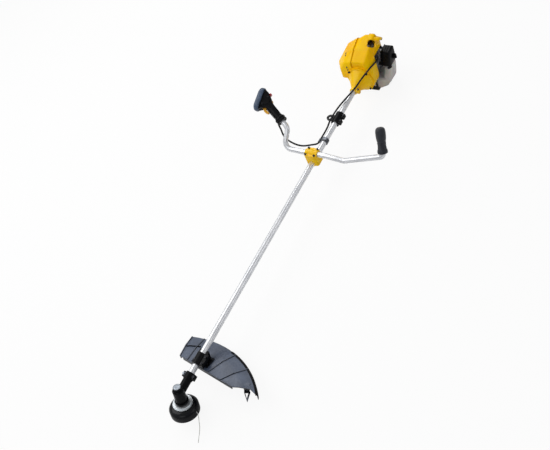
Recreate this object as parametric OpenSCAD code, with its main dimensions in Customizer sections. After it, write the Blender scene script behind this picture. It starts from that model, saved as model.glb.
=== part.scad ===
// Petrol string trimmer with cow-horn handlebars, lying on its tank stand and guard.
// Frame: +X forward to the cutting head, +Y to the operator's left, +Z up.
// Origin: under the shaft, midway along the tank stand's base, on the ground.

/* [Layout] */
// Height of the shaft's axis above the ground
shaft_h = 124; // [123:1:130]
// From the centre of the tank stand forward to the mouth of the clutch housing
mouth_x = 194; // [190:1:200]
// Running clearance of a shaft in its bore, each side
run_gap = 0.05; // [0.03:0.01:0.08]
// Clearance between a fitted piece and its seat, each side
fit_gap = 0.05; // [0.02:0.01:0.1]
// Gap between pieces that move past each other
free_gap = 0.5; // [0.4:0.1:0.8]

/* [Tube and drive shaft] */
// Outside diameter of the main tube
tube_d = 24; // [23:0.5:26]
// Wall of the main tube
tube_wall = 1.5; // [1:0.1:2]
// Length of tube that shows between the clutch housing and the gear case
tube_open = 1390; // [1300:10:1450]
// Depth of the tube in the clutch housing
tube_seat = 45; // [40:1:46]
// Depth of the tube in the gear case
gear_seat = 36; // [30:1:38]
// Diameter of the drive shaft
drive_d = 7; // [6:0.5:7.5]
// Number of bushings that carry the drive shaft in the tube
bushing_count = 4; // [2:1:6]
// Length of one bushing
bushing_l = 40; // [20:1:60]

/* [Engine] */
// Length of the clutch housing
bell_l = 82; // [80:1:88]
// Radius of the clutch housing's flange
bell_r = 60; // [59:1:64]
// Depth of the fan housing
fan_l = 50; // [48:1:56]
// Radius of the round drum behind the clutch housing's flange
fan_r = 66; // [64:1:68]
// Depth of the crankcase
case_l = 78; // [76:1:84]
// Wall of the moulded yellow covers
cover_wall = 3.5; // [2.5:0.1:4]
// Depth of the channel down the middle of the cover
channel_depth = 5; // [3:0.5:6]
// Radius of the crankshaft's journals
journal_r = 7.5; // [7:0.5:8]
// Outside radius of the flywheel
flywheel_r = 52; // [48:1:54]
// Number of fan blades on the flywheel
blade_count = 16; // [10:1:20]
// Inside radius of the clutch drum
drum_r = 36; // [34:0.5:36.5]
// Radius of the starter housing
starter_r = 58; // [54:1:58]
// Number of cooling fins on the cylinder
fin_count = 9; // [6:1:9]

/* [Handlebar] */
// Outside diameter of the handlebar tubes
bar_d = 22; // [21:0.5:23]
// Wall of the handlebar tubes
bar_wall = 2; // [1.5:0.1:2.5]
// Height of the bars above the shaft axis
bar_rise = 36; // [35:0.5:39]
// Position of the handlebar clamp along the shaft
bar_x = 388; // [360:1:420]
// Radius of the bends on the bars' centre line
bend_r = 32; // [28:1:36]
// Diameter of the rubber grip's body
grip_d = 32; // [30:0.5:34]
// Length of the rubber grip
grip_l = 102; // [96:1:110]

/* [Hanger and guard] */
// Position of the harness hanger along the shaft
hanger_x = 160; // [140:1:190]
// Radius of the hole in the harness eye
eye_r = 7; // [5:0.5:8]
// Thickness of the harness eye
eye_t = 5; // [4:0.5:6]
// From the gear shafts' crossing back to the middle of the guard bracket
guard_back = 138; // [136:1:142]
// Radius of the guard's outer edge
guard_r = 373; // [368:1:376]
// Depth of the lip round the guard's outer edge
lip_h = 18; // [16:1:40]
// Wall of the guard
guard_wall = 3; // [2:0.5:4]

/* [Cutting head] */
// From the gear case's mouth to the point where the gear shafts cross
gear_reach = 82; // [80:1:90]
// Tilt of the cutting head forward from straight down
head_tilt = 19; // [18:0.5:20]
// Teeth on the pinion
pinion_teeth = 14; // [12:1:14]
// Teeth on the driven bevel gear
gear_teeth = 20; // [19:1:21]
// Size of the gear teeth, as pitch diameter over number of teeth
tooth_size = 1.5; // [1.4:0.05:1.55]
// Outside radius of the line head
head_r = 54; // [50:1:58]
// Height of the line head's housing
head_h = 38; // [36:1:42]
// Diameter of the nylon line
line_d = 2.4; // [2:0.1:3]
// Travel of the bump knob
bump_travel = 6; // [4:0.5:7]

/* [Hidden] */
$fn = 48;

tube_r = tube_d / 2;
tube_in_r = tube_r - tube_wall;
drive_r = drive_d / 2;
bar_r = bar_d / 2;
screw_r = 2.5;            // the same M5 socket screw serves all over
screw_gap = 0.1;
screw_head_r = 4.3;
screw_head_h = 5;

// places along the shaft, measured forward from the clutch housing's mouth
fan_x = -bell_l;
case_x = fan_x - fan_l;
starter_x = case_x - case_l;
cover_end_x = starter_x - 6;
gear_x = tube_open;
bend_x = gear_x + gear_reach;
guard_x = bend_x - guard_back;

// --- places and shapes shared by the sub-parts ---

function unit(v) = v / norm(v);

module on_shaft() { translate([mouth_x, 0, shaft_h]) children(); }

module on_head() { on_shaft() translate([bend_x, 0, 0]) rotate([0, -head_tilt, 0]) children(); }

// Turns a revolved shape's axis onto the shaft
module along_shaft(x = 0) { translate([x, 0, 0]) rotate([0, 90, 0]) children(); }

// Extrudes a (Y, Z) outline along the shaft, forward from x
module section(x, l) { translate([x, 0, 0]) rotate([90, 0, 90]) linear_extrude(l) children(); }

// Extrudes an (X, Z) outline to the left, from y
module side(y, l) { translate([0, y + l, 0]) rotate([90, 0, 0]) linear_extrude(l) children(); }

// Local Z along z, local X as near x as square allows
module aim(p, z, x) {
  k = unit(z);
  j = unit(cross(k, x));
  i = cross(j, k);
  multmatrix([[i[0], j[0], k[0], p[0]], [i[1], j[1], k[1], p[1]], [i[2], j[2], k[2], p[2]],
    [0, 0, 0, 1]]) children();
}

module round_rect(w, h, r) {
  square([w - 2 * r, h], center = true);
  square([w, h - 2 * r], center = true);
  for (sx = [-1, 1], sy = [-1, 1]) translate([sx * (w / 2 - r), sy * (h / 2 - r)]) circle(r);
}

module oval(w, h) {
  square([w - h, h], center = true);
  for (sx = [-1, 1]) translate([sx * (w - h) / 2, 0]) circle(h / 2);
}

module ring(r_out, r_in, h) {
  difference() {
    cylinder(r = r_out, h = h);
    translate([0, 0, -1]) cylinder(r = r_in, h = h + 2);
  }
}

// Where a bend of radius r starts, before corner b on the way from a to c
function setback(a, b, c, r) = r * tan(acos(unit(b - a) * unit(c - b)) / 2);

module rod(a, b, r) {
  v = b - a;
  translate(a) rotate([0, acos(v[2] / norm(v)), atan2(v[1], v[0])]) cylinder(r = r, h = norm(v));
}

// A round bar along straight legs with a bend at each corner
module bent_rod(p, r, bends) {
  last = len(p) - 1;
  for (i = [0 : last - 1]) {
    u = unit(p[i + 1] - p[i]);
    // each leg runs a little way into its bends, so that they join
    from = i == 0 ? 0 : setback(p[i - 1], p[i], p[i + 1], bends[i]) - 0.1;
    to = i == last - 1 ? 0 : setback(p[i], p[i + 1], p[i + 2], bends[i + 1]) - 0.1;
    rod(p[i] + from * u, p[i + 1] - to * u, r);
  }
  for (i = [1 : last - 1]) {
    u = unit(p[i] - p[i - 1]);
    w = unit(p[i + 1] - p[i]);
    n = unit(w - (w * u) * u);
    k = cross(u, n);
    c = p[i] - setback(p[i - 1], p[i], p[i + 1], bends[i]) * u + bends[i] * n;
    multmatrix([[-n[0], u[0], k[0], c[0]], [-n[1], u[1], k[1], c[1]], [-n[2], u[2], k[2], c[2]],
      [0, 0, 0, 1]]) rotate_extrude(angle = acos(u * w)) translate([bends[i], 0]) circle(r - 0.03);
  }
}

// A round tube swept through a list of points
function turn_at(p, i) = unit(p[min(i + 1, len(p) - 1)] - p[max(i - 1, 0)]);
module sweep(p, r, sides = 8) {
  up = [0.25, 0.15, 1];
  points = [for (i = [0 : len(p) - 1])
    let (k = turn_at(p, i), a = unit(cross(up, k)), b = cross(k, a))
    for (s = [0 : sides - 1]) p[i] + r * cos(360 * s / sides) * a + r * sin(360 * s / sides) * b];
  walls = [for (i = [0 : len(p) - 2], s = [0 : sides - 1])
    let (t = (s + 1) % sides)
    [i * sides + s, (i + 1) * sides + s, (i + 1) * sides + t, i * sides + t]];
  ends = [[for (s = [0 : sides - 1]) s],
    [for (s = [sides - 1 : -1 : 0]) (len(p) - 1) * sides + s]];
  polyhedron(points, concat(walls, ends));
}

// A socket-head screw, its head standing on the plane z = 0
module socket_screw(l) {
  difference() {
    union() {
      cylinder(r = screw_head_r, h = screw_head_h);
      translate([0, 0, -l]) cylinder(r = screw_r, h = l + 1);
    }
    translate([0, 0, screw_head_h - 2.5]) cylinder(r = 2.3, h = 3, $fn = 6);
  }
}

module screw_hole(l) { translate([0, 0, -l - 1]) cylinder(r = screw_r + screw_gap, h = l + 2); }

module bearing(r_in, r_out, w) {
  rotate_extrude() polygon([[r_in, 0], [r_out, 0], [r_out, w], [r_in, w], [r_in, w - 1],
    [r_in + 2, w - 1], [r_in + 2, 1], [r_in, 1]]);
}

// --- main tube and drive shaft ---

module main_tube() color("gainsboro") on_shaft()
  along_shaft(-tube_seat) ring(tube_r, tube_in_r, tube_open + tube_seat + gear_seat);

// Nylon bushings, evenly spaced inside the tube
module shaft_bushings() color("ivory") on_shaft()
  for (i = [0 : bushing_count - 1])
    along_shaft((i + 0.5) * tube_open / bushing_count - bushing_l / 2)
      ring(tube_in_r - fit_gap, drive_r + run_gap, bushing_l);

pinion_x = bend_x - 42;               // back face of the pinion's shank
pinion_grip = 14;                     // length of drive shaft inside the pinion
drum_hub_x = -46;                     // front face of the drum's hub
module drive_shaft() color("silver") on_shaft()
  along_shaft(drum_hub_x - 14) cylinder(r = drive_r, h = pinion_x + pinion_grip - drum_hub_x + 14);

// --- clutch housing ---

neck_wall = 5;
neck_l = 18;
bell_flange = 6;
bell_lug_r = bell_r;
bell_lug_turn = 45;
drum_bearing = [6, 14, 8];            // inside radius, outside radius, width
drum_out_r = drum_r + 2.5;
clamp_ear = 22.5;                      // from the shaft axis to the neck clamp's screw

module at_bell_lugs() {
  for (i = [0 : 3]) rotate([90 * i + bell_lug_turn, 0, 0]) translate([0, bell_lug_r, 0]) children();
}

module clutch_housing() color("gold") on_shaft() {
  seat_x = -tube_seat - 2;
  difference() {
    union() {
      along_shaft() rotate_extrude() polygon([[tube_r + fit_gap, 0], [tube_r + neck_wall - 1, 0],
        [tube_r + neck_wall, -1.5], [tube_r + neck_wall, -neck_l], [bell_r - 5, -bell_l + bell_flange],
        [bell_r, -bell_l + bell_flange], [bell_r, -bell_l], [bell_r - 9, -bell_l],
        [drum_out_r + 2.5, seat_x - drum_bearing[2] - 2], [16, seat_x - drum_bearing[2] - 2],
        [drum_bearing[1] + fit_gap, seat_x - drum_bearing[2]], [drum_bearing[1] + fit_gap, seat_x],
        [11, seat_x], [11, -tube_seat - fit_gap], [tube_r + fit_gap, -tube_seat - fit_gap]]);
      translate([-14, tube_r, -9]) cube([12, clamp_ear + 7 - tube_r, 18]);
      at_bell_lugs() along_shaft(fan_x) {
        cylinder(r = 7, h = bell_flange + 2);
      }
    }
    translate([-15, tube_r - 2, -0.8]) cube([16, clamp_ear + 10 - tube_r, 1.6]);
    translate([-8, clamp_ear, 9]) screw_hole(20);
    at_bell_lugs() along_shaft(fan_x + bell_flange + 2) screw_hole(10);
    along_shaft(-tube_seat - fit_gap) cylinder(r = tube_r + fit_gap, h = tube_seat + 1);
  }
}

// --- yellow fan housing and engine cover, two halves of one flowing form ---

cover_round = 12;                     // radius that rounds the form's edges
channel_y = [-30, 33];
// The form's corners: setback from the front, then Y and Z, at the centres of their rounding
cover_corners = [
  [12, -84, 0], [12, -84, 44], [12, -62, 74], [12, -22, 84], [12, 32, 86], [12, 54, 54], [12, 54, 0],
  [30, -60, 84], [30, 38, 100], [104, -76, 93], [104, 15, 151], [104, 50, 153],
  [42, -102, -20], [42, -102, 50], [122, -100, -23], [122, -100, 44], [122, -76, 76],
  [122, 15, 116], [122, 50, 118], [122, 54, 40], [122, 54, -10]
];

module cover_form(r) {
  hull() for (c = cover_corners) translate([fan_x - c[0], c[1], c[2]]) sphere(r, $fn = 16);
}

module cover_slab(x0, x1, y0, y1) { translate([x0, y0, -130]) cube([x1 - x0, y1 - y0, 320]); }

// The outside of the form between two places along the shaft, with its sunken channel and its drum
module cover_outside(x0, x1) {
  if (x1 > case_x) along_shaft(x0) cylinder(r = fan_r, h = x1 - x0 - 1);
  intersection() {
    cover_form(cover_round);
    union() {
      cover_slab(x0, x1, -130, channel_y[0]);
      cover_slab(x0, x1, channel_y[1], 120);
    }
  }
  intersection() {
    cover_form(cover_round - channel_depth);
    cover_slab(x0, x1, channel_y[0] - 1, channel_y[1] + 1);
  }
}

module cover_inside(x1 = fan_x - 4) {
  cover_form(cover_round - channel_depth - cover_wall);
  along_shaft(case_x - 10) cylinder(r = fan_r - cover_wall, h = x1 - case_x + 10);
}

module fan_housing() color("gold") on_shaft() {
  difference() {
    union() {
      difference() {
        cover_outside(case_x + free_gap / 2, fan_x + 1);
        cover_inside();
      }
      at_bell_lugs() along_shaft(fan_x - 14) cylinder(r = 7, h = 14);
    }
    along_shaft(fan_x - 20) cylinder(r = bell_r - 8, h = 24);
    at_bell_lugs() along_shaft(fan_x) screw_hole(12);
  }
}

cyl_x = case_x - 46;                  // the cylinder's axis
cyl_y = 6;
opening = [32, 32];                   // plug opening, along the slope and across it
brow = [30, 42, 13];                  // ledge over the plug opening

module engine_cover() color("gold") on_shaft() {
  difference() {
    union() {
      cover_outside(cover_end_x - 1, case_x - free_gap / 2);
      hull() for (x = [0, brow[0] - 13], y = [0, brow[1]])
        translate([cover_end_x + 20 + x, 34 + y, 143 + 0.6 * x - 0.16 * y]) sphere(brow[2] / 2, $fn = 16);
    }
    cover_inside();
    translate([cover_end_x - 2, -98, -60]) cube([110, 190, 53]);
    translate([cover_end_x - 2, 44, -30]) cube([90, 36, 122]);
    along_shaft(cover_end_x - 2) cylinder(r = starter_r + 3, h = 18);
    translate([cyl_x + 23, 48, 141]) rotate([0, 36, 0]) translate([0, 0, -25])
      linear_extrude(60) round_rect(opening[0], opening[1], 12);
  }
}

// --- crankcase, cylinder, plug and muffler ---

crank_bearing = [journal_r, 16, 9];
case_r = 46;
case_top = 44;
case_foot = -50;
foot_x = case_x - 26;                 // screws that hold the tank stand

module crankcase() color("darkgray") on_shaft() {
  difference() {
    union() {
      section(starter_x, case_l) {
        circle(case_r);
        translate([-34, 0]) square([68 + cyl_y, case_top]);
        translate([-32, case_foot]) square([64, -case_foot]);
      }
      for (x = [case_x - 4, starter_x]) section(x, 4) {
        circle(case_r + 4);
        for (a = [45 : 90 : 315]) rotate(a) translate([case_r + 2, 0]) circle(7);
      }
    }
    along_shaft(starter_x - 1) cylinder(r = journal_r + 1, h = case_l + 2);
    along_shaft(case_x - crank_bearing[2] - fit_gap)
      cylinder(r = crank_bearing[1] + fit_gap, h = crank_bearing[2] + 2);
    along_shaft(starter_x - 2) cylinder(r = crank_bearing[1] + fit_gap, h = crank_bearing[2] + 2);
    for (y = [-20, 20]) translate([foot_x, y, case_foot - 1]) cylinder(r = screw_r + screw_gap, h = 14);
    translate([cyl_x - 31, cyl_y - 31, case_top]) cube([62, 62, 20]);
  }
}

fin_pitch = 6;
fin_half = 27;
head_top = case_top + 74;
plug_lean = 50;                       // plug's lean to the left
module at_plug() {
  translate([cyl_x, cyl_y + 4, head_top - 2]) rotate([-plug_lean, 0, 0]) children();
}

module cylinder_fins() {
  for (i = [0 : fin_count - 1]) translate([0, 0, case_top + 10 + fin_pitch * i])
    linear_extrude(2) round_rect(2 * fin_half, 2 * fin_half, 8);
}

// Finned cylinder with its head in one piece
module engine_cylinder() color("silver") on_shaft() {
  difference() {
    union() {
      translate([cyl_x, cyl_y, 0]) {
        translate([0, 0, case_top]) cylinder(r = 23, h = head_top - case_top - 8);
        translate([0, 0, head_top - 8]) cylinder(r1 = 23, r2 = 17, h = 8);
        translate([0, 0, case_top]) linear_extrude(6) round_rect(60, 60, 8);
        cylinder_fins();
        translate([-14, -42, case_top + 14]) cube([28, 42, 26]);
        translate([-26, 0, case_top + 2]) cube([28, 32, 26]);
      }
      at_plug() translate([0, 0, -8]) cylinder(r = 11, h = 16);
    }
    at_plug() translate([0, 0, -9]) cylinder(r = 5 + fit_gap, h = 20);
    at_plug() translate([0, 0, 7.8]) cylinder(r = 11.5, h = 40);
  }
}

module spark_plug() color("white") on_shaft() at_plug() {
  translate([0, 0, -3]) cylinder(r = 5, h = 11);
  translate([0, 0, 8]) cylinder(r = 9, h = 7, $fn = 6);
  translate([0, 0, 15]) cylinder(r = 5, h = 11);
  translate([0, 0, 26]) cylinder(r = 3, h = 5);
}

module plug_boot() color("dimgray") on_shaft() at_plug() difference() {
  union() {
    translate([0, 0, 17]) cylinder(r = 10, h = 13);
    translate([0, 0, 30]) cylinder(r1 = 10, r2 = 8, h = 3);
    translate([0, 0, 26]) rotate([0, -90, 0]) cylinder(r = 6, h = 16);
  }
  translate([0, 0, 16]) cylinder(r = 5 + fit_gap, h = 10 + fit_gap);
  translate([0, 0, 25]) cylinder(r = 3 + fit_gap, h = 6 + fit_gap);
}

muffler_x = [cyl_x - 24, cyl_x + 28];
module muffler() color("darkgray") on_shaft() difference() {
  union() {
    section(muffler_x[0], muffler_x[1] - muffler_x[0])
      polygon([[-92, 8], [-92, 50], [-70, 76], [-40, 76], [-40, 8]]);
    translate([cyl_x - 12, cyl_y - 42 - 6, case_top + 16]) cube([24, 6, 22]);
    translate([cyl_x, -74, -22]) cylinder(r = 9, h = 32);
  }
  translate([cyl_x, -74, -23]) cylinder(r = 7, h = 28);
  along_shaft(muffler_x[0] - 10) cylinder(r = case_r + 0.5, h = 80);
  for (i = [0 : 1]) translate([muffler_x[0] - 1, -93, 16 + 14 * i]) cube([60, 4, 4]);
}

// --- bearings ---

pinion_bearing = [5, 13, 8];
low_bearing = [6, 16, 10];
top_bearing_z = 22;
low_bearing_z = -34;

module bearings() color("lightsteelblue") {
  on_shaft() {
    along_shaft(case_x - crank_bearing[2]) bearing(journal_r + run_gap, crank_bearing[1], crank_bearing[2]);
    along_shaft(starter_x) bearing(journal_r + run_gap, crank_bearing[1], crank_bearing[2]);
    along_shaft(-tube_seat - 2 - drum_bearing[2])
      bearing(drum_bearing[0] + run_gap, drum_bearing[1], drum_bearing[2]);
    for (i = [0, 1]) along_shaft(pinion_x + 1 + i * (pinion_bearing[2] + 1))
      bearing(pinion_bearing[0] + run_gap, pinion_bearing[1], pinion_bearing[2]);
  }
  on_head() {
    translate([0, 0, top_bearing_z]) bearing(5 + run_gap, 13, 8);
    translate([0, 0, low_bearing_z]) bearing(low_bearing[0] + run_gap, low_bearing[1], low_bearing[2]);
  }
}

// --- crankshaft, flywheel and clutch ---

shoe_x = fan_x - 3;                   // back face of the clutch shoes
shoe_l = 18;
wheel_x = fan_x - 34;                 // back face of the flywheel
wheel_l = 27;
pawl_x = starter_x - 12;              // back face of the starter's pawl plate

module crankshaft() color("silver") on_shaft() {
  along_shaft(pawl_x) cylinder(r = journal_r, h = wheel_x - pawl_x);
  along_shaft(wheel_x) cylinder(r = 6, h = shoe_x + shoe_l + 4 - wheel_x);
  along_shaft(pawl_x) cylinder(r = 18, h = 4);
}

module flywheel() color("silver") on_shaft() along_shaft(wheel_x) difference() {
  union() {
    cylinder(r = flywheel_r, h = 4);
    cylinder(r = 16, h = wheel_l);
    difference() {
      cylinder(r = 34, h = 12);
      translate([0, 0, 4]) cylinder(r = 28, h = 10);
    }
    for (i = [0 : blade_count - 1]) rotate(360 * i / blade_count)
      translate([33, 0, 2]) rotate(-25) cube([flywheel_r - 36, 2, 18]);
  }
  translate([0, 0, -1]) cylinder(r = 6 + fit_gap, h = wheel_l + 2);
}

// Two shoes thrown out against the drum, on the pins of a carrier
module clutch_shoes() color("peru") on_shaft() along_shaft(shoe_x) {
  difference() {
    cylinder(r = 14, h = shoe_l);
    translate([0, 0, -1]) cylinder(r = 6 + fit_gap, h = shoe_l + 2);
  }
  for (a = [0, 180]) rotate(a + 12) {
    rotate_extrude(angle = 156) polygon([[21, 0], [drum_r - 1.5, 0], [drum_r - 1.5, shoe_l], [21, shoe_l]]);
    rotate(78) translate([12, -4, 3]) cube([11, 8, 12]);
  }
}

module clutch_drum() color("slategray") on_shaft() {
  hub_l = -(fan_x + 20) + drum_hub_x;
  difference() {
    union() {
      along_shaft(fan_x - 4) cylinder(r = drum_out_r, h = 27);
      along_shaft(fan_x + 20) cylinder(r = drum_bearing[0], h = hub_l);
    }
    along_shaft(fan_x - 5) cylinder(r = drum_r, h = 25.5);
    along_shaft(fan_x - 6) cylinder(r = drive_r + fit_gap, h = 60);
  }
}

// --- carburettor and air filter ---

carb_y = [cyl_y + 32, cyl_y + 62];
carb_x = cyl_x - 12;
carb_top = case_top + 30;
filter_y = carb_y[1] + 4;
filter_w = 40;
filter_round = 6;
// side outline of the filter's cover, at the centres of its rounding: X and Z
filter_side = [[cyl_x + 9, 12], [cyl_x + 4, 44], [cyl_x - 6, 69], [cyl_x - 42, 71], [cyl_x - 42, 11]];

module carburettor() color("silver") on_shaft() difference() {
  union() {
    translate([carb_x - 15, carb_y[0], carb_top - 34]) cube([30, carb_y[1] - carb_y[0], 28]);
    translate([carb_x, carb_y[0] + 15, carb_top - 8]) cylinder(r = 9, h = 8);
    translate([carb_x - 12, carb_y[0] + 4, carb_top - 38]) cube([24, 22, 6]);
    translate([carb_x + 14, carb_y[0] + 20, carb_top - 20]) cube([12, 10, 6]);
    translate([carb_x + 20, carb_y[0] + 20, carb_top - 16]) cube([6, 10, 14]);
  }
  translate([carb_x, carb_y[0] - 1, carb_top - 21]) rotate([-90, 0, 0]) cylinder(r = 8, h = 40);
  translate([carb_x - 20, carb_y[0] - 1, case_top - 10]) cube([40, 3.5, 10.3]);
  translate([carb_x, carb_y[0] + 15, carb_top - 12]) cylinder(r = 3 + run_gap, h = 20);
}

// Lever that the throttle cable turns, on its spindle
module throttle_arm() color("silver") on_shaft() translate([carb_x, carb_y[0] + 15, carb_top]) {
  translate([0, 0, -10]) cylinder(r = 3, h = 13);
  translate([0, 0, free_gap]) linear_extrude(2) {
    circle(6);
    translate([-3, -16]) square([6, 16]);
    translate([0, -16]) circle(3);
  }
}

choke_pos = [cyl_x + 26, 30];
module choke_lever() color("dimgray") on_shaft() translate([choke_pos[0] - 8, filter_y, choke_pos[1]])
  rotate([90, 0, 0]) {
    translate([0, 0, 4 + free_gap]) linear_extrude(3) {
      circle(6);
      translate([0, -3]) square([10, 6]);
      translate([10, 0]) circle(4);
    }
    cylinder(r = 3, h = 6 + free_gap);
  }

bulb_r = 9;
module primer_bulb() color("red") on_shaft() translate([carb_x, carb_y[0] + 15, carb_top - 38]) {
  rotate([180, 0, 0]) rotate_extrude() polygon([[0, 0.3], [bulb_r, 0.3], [bulb_r, 3], [bulb_r - 1, 6],
    [bulb_r - 4, 9], [0, 10]]);
}

module filter_outline(grow) {
  polygon([[cyl_x + 15 + grow, 6 - grow], [cyl_x + 10 + grow, 44], [cyl_x - 2 + grow, 75 + grow],
    [cyl_x - 48 - grow, 77 + grow], [cyl_x - 48 - grow, 6 - grow]]);
}

module filter_base() color("dimgray") on_shaft() difference() {
  side(carb_y[1] + fit_gap, 4 - 2 * fit_gap) {
    filter_outline(0);
    translate([choke_pos[0] - 8, choke_pos[1]]) circle(9);
  }
  translate([carb_x, carb_y[1] - 1, carb_top - 21]) rotate([-90, 0, 0]) cylinder(r = 8, h = 8);
  translate([choke_pos[0] - 8, filter_y + 1, choke_pos[1]]) rotate([90, 0, 0])
    cylinder(r = 3 + run_gap, h = 8);
}

module filter_element() color("seashell") on_shaft()
  side(filter_y + 0.3, filter_w - 8) difference() {
    filter_outline(-7);
    translate(filter_bolt) circle(5 + free_gap);
  }

filter_bolt = [cyl_x - 28, 34];
module filter_shell(r, y0, y1) {
  hull() for (c = filter_side, y = [y0, y1]) translate([c[0], y, c[1]]) sphere(r, $fn = 16);
}

module filter_cover() color("dimgray") on_shaft() difference() {
  union() {
    intersection() {
      filter_shell(filter_round, filter_y, filter_y + filter_w - filter_round);
      translate([cyl_x - 80, filter_y + fit_gap, -20]) cube([140, 100, 140]);
    }
    for (y = [9, 20, 31]) side(filter_y + y - 2.5, 5) polygon([[cyl_x + 12, 42], [cyl_x - 2, 76.5],
      [cyl_x - 42, 79], [cyl_x - 42, 74], [cyl_x - 8, 72], [cyl_x + 8, 40]]);
  }
  filter_shell(filter_round - 2.5, filter_y, filter_y + filter_w - filter_round);
  translate([filter_bolt[0], filter_y, filter_bolt[1]]) rotate([-90, 0, 0])
    cylinder(r = 3 + run_gap, h = filter_w + 10);
}

module filter_knob() color("dimgray") on_shaft()
  translate([filter_bolt[0], filter_y + filter_w + 0.3, filter_bolt[1]]) rotate([-90, 0, 0]) {
    translate([0, 0, -24]) cylinder(r = 3, h = 25);
    cylinder(r = 11, h = 7);
    translate([-2.5, -10, 6]) cube([5, 20, 7]);
  }

// --- fuel tank ---

tank_front = case_x - 16;
tank_rear = tank_front - 94;
tank_round = 12;
tank_wall = 3;
tank_low = -shaft_h + 4;

// Main body and the lobe that climbs beside the crankcase
module tank_form(r) {
  low = tank_low + 0.3 + tank_round;
  top = -62 - tank_round;
  hull() {
    for (p = [[-78, low], [40, low], [72, -90]]) translate([tank_front - tank_round, p[0], p[1]])
      sphere(r, $fn = 16);
    for (p = [[-78, top], [80, top]]) translate([tank_front - tank_round - 6, p[0], p[1]])
      sphere(r, $fn = 16);
    for (p = [[-78, low], [58, low], [76, -92], [-78, top], [80, top]])
      translate([tank_rear + tank_round, p[0], p[1]]) sphere(r, $fn = 16);
  }
  hull() {
    for (p = [[74, -78, 20], [84, -76, 20], [90, -22, 38], [78, -22, 38]])
      translate([tank_front - p[2], p[0], p[1]]) sphere(r, $fn = 16);
    for (p = [[74, -78], [80, -76], [88, -22], [78, -22]])
      translate([tank_rear + tank_round, p[0], p[1]]) sphere(r, $fn = 16);
  }
}

cap_pos = [48, -91];                  // Y and Z of the filler's axis
cap_r = 21;
neck_r = 17;
neck_out = 8;

module fuel_tank() color("whitesmoke") on_shaft() difference() {
  union() {
    tank_form(tank_round);
    translate([tank_rear - neck_out, cap_pos[0], cap_pos[1]]) rotate([0, 90, 0])
      cylinder(r = neck_r, h = neck_out + 14);
  }
  tank_form(tank_round - tank_wall);
  translate([tank_rear - neck_out - 1, cap_pos[0], cap_pos[1]]) rotate([0, 90, 0])
    cylinder(r = neck_r - 3, h = neck_out + 20);
}

module fuel_cap() color("dimgray") on_shaft()
  translate([tank_rear, cap_pos[0], cap_pos[1]]) rotate([0, -90, 0]) difference() {
    union() {
      translate([0, 0, 0.3]) cylinder(r = cap_r, h = neck_out + 6);
      translate([-3, -cap_r + 3, neck_out + 5]) cube([6, 2 * cap_r - 6, 6]);
    }
    translate([0, 0, -1]) cylinder(r = neck_r + run_gap, h = neck_out + 1.3);
    for (i = [0 : 11]) rotate(30 * i) translate([cap_r + 1, 0, -1]) cylinder(r = 2, h = 12);
  }

hose_r = 2.5;
// Two fuel hoses from the tank's lobe to the carburettor's underside, in shaft coordinates
hose_routes = [
  [[-196, 80, -9.7], [-196, 79, -6], [-197, 73, -3], [-202, 65.5, 0], [-208, 62, 10], [-212, 60, 20],
    [-213, 57, 32], [-210, 52, 42], [-206.6, 50.5, 44]],
  [[-214, 80, -9.7], [-214, 79, -6], [-215, 73, -3], [-218, 65.5, 0], [-220, 62.5, 12], [-221, 59, 30],
    [-219, 53, 46], [-213, 50.5, 54], [-206.6, 50, 55]]
];
module fuel_hoses() color("olive") on_shaft() for (r = hose_routes) sweep(r, hose_r);

// --- tank stand ---

stand_front = mouth_x + tank_front + 6;
module tank_stand() color("dimgray") {
  difference() {
    union() {
      translate([-stand_front, -72, 0]) cube([2 * stand_front, 108, 4]);
      translate([stand_front - 5, -62, 0]) cube([5, 96, shaft_h + case_foot]);
      translate([stand_front - 42, -32, shaft_h + case_foot - 4]) cube([40, 64, 4]);
    }
    translate([stand_front - 20, -44, 18]) cube([30, 70, 36]);
    for (y = [-20, 20]) translate([mouth_x + foot_x, y, shaft_h + case_foot - 6])
      cylinder(r = screw_r + screw_gap, h = 10);
  }
}

// --- recoil starter ---

rope_x = starter_x - 33;              // the rope leaves the pulley here, straight up
rope_y = 32;
rope_r = 1.5;
dome_x = starter_x - 52;              // back of the starter's dome
pulley_l = 14;

module starter_housing() color("dimgray") on_shaft() {
  difference() {
    union() {
      along_shaft() rotate_extrude() polygon([[26, starter_x - 0.3], [starter_r, starter_x - 0.3],
        [starter_r, dome_x + 16], [starter_r - 14, dome_x], [0, dome_x], [0, dome_x + 3.5],
        [starter_r - 16, dome_x + 3.5], [starter_r - 3.5, dome_x + 17],
        [starter_r - 3.5, starter_x - 4], [26, starter_x - 4]]);
      along_shaft(dome_x + 2) cylinder(r = 6, h = 26);
      translate([rope_x, rope_y, 45]) cylinder(r = 7, h = 30.7);
    }
    translate([rope_x, rope_y, 40]) cylinder(r = rope_r + 0.7, h = 40);
    for (i = [0 : 11]) along_shaft(dome_x - 1) rotate(30 * i + 15) translate([22, -3, 0]) cube([26, 6, 6]);
  }
}

module starter_pulley() color("ivory") on_shaft() along_shaft(rope_x - pulley_l / 2)
  rotate_extrude() polygon([[6 + run_gap, 0], [35, 0], [35, 2.5], [30.4, 4], [30.4, pulley_l - 4],
    [35, pulley_l - 2.5], [35, pulley_l], [6 + run_gap, pulley_l]]);

module starter_rope() color("ivory") on_shaft() translate([rope_x, rope_y, 0])
  cylinder(r = rope_r, h = 76 - fit_gap, $fn = 24);

module starter_handle() color("dimgray") on_shaft() translate([rope_x, rope_y, 76]) {
  cylinder(r = 6, h = 10);
  translate([0, -15, 15]) rotate([-90, 0, 0]) cylinder(r = 7, h = 30);
  for (y = [-15, 15]) translate([0, y, 15]) sphere(7);
}

// --- harness hanger and cable clip ---

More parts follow.
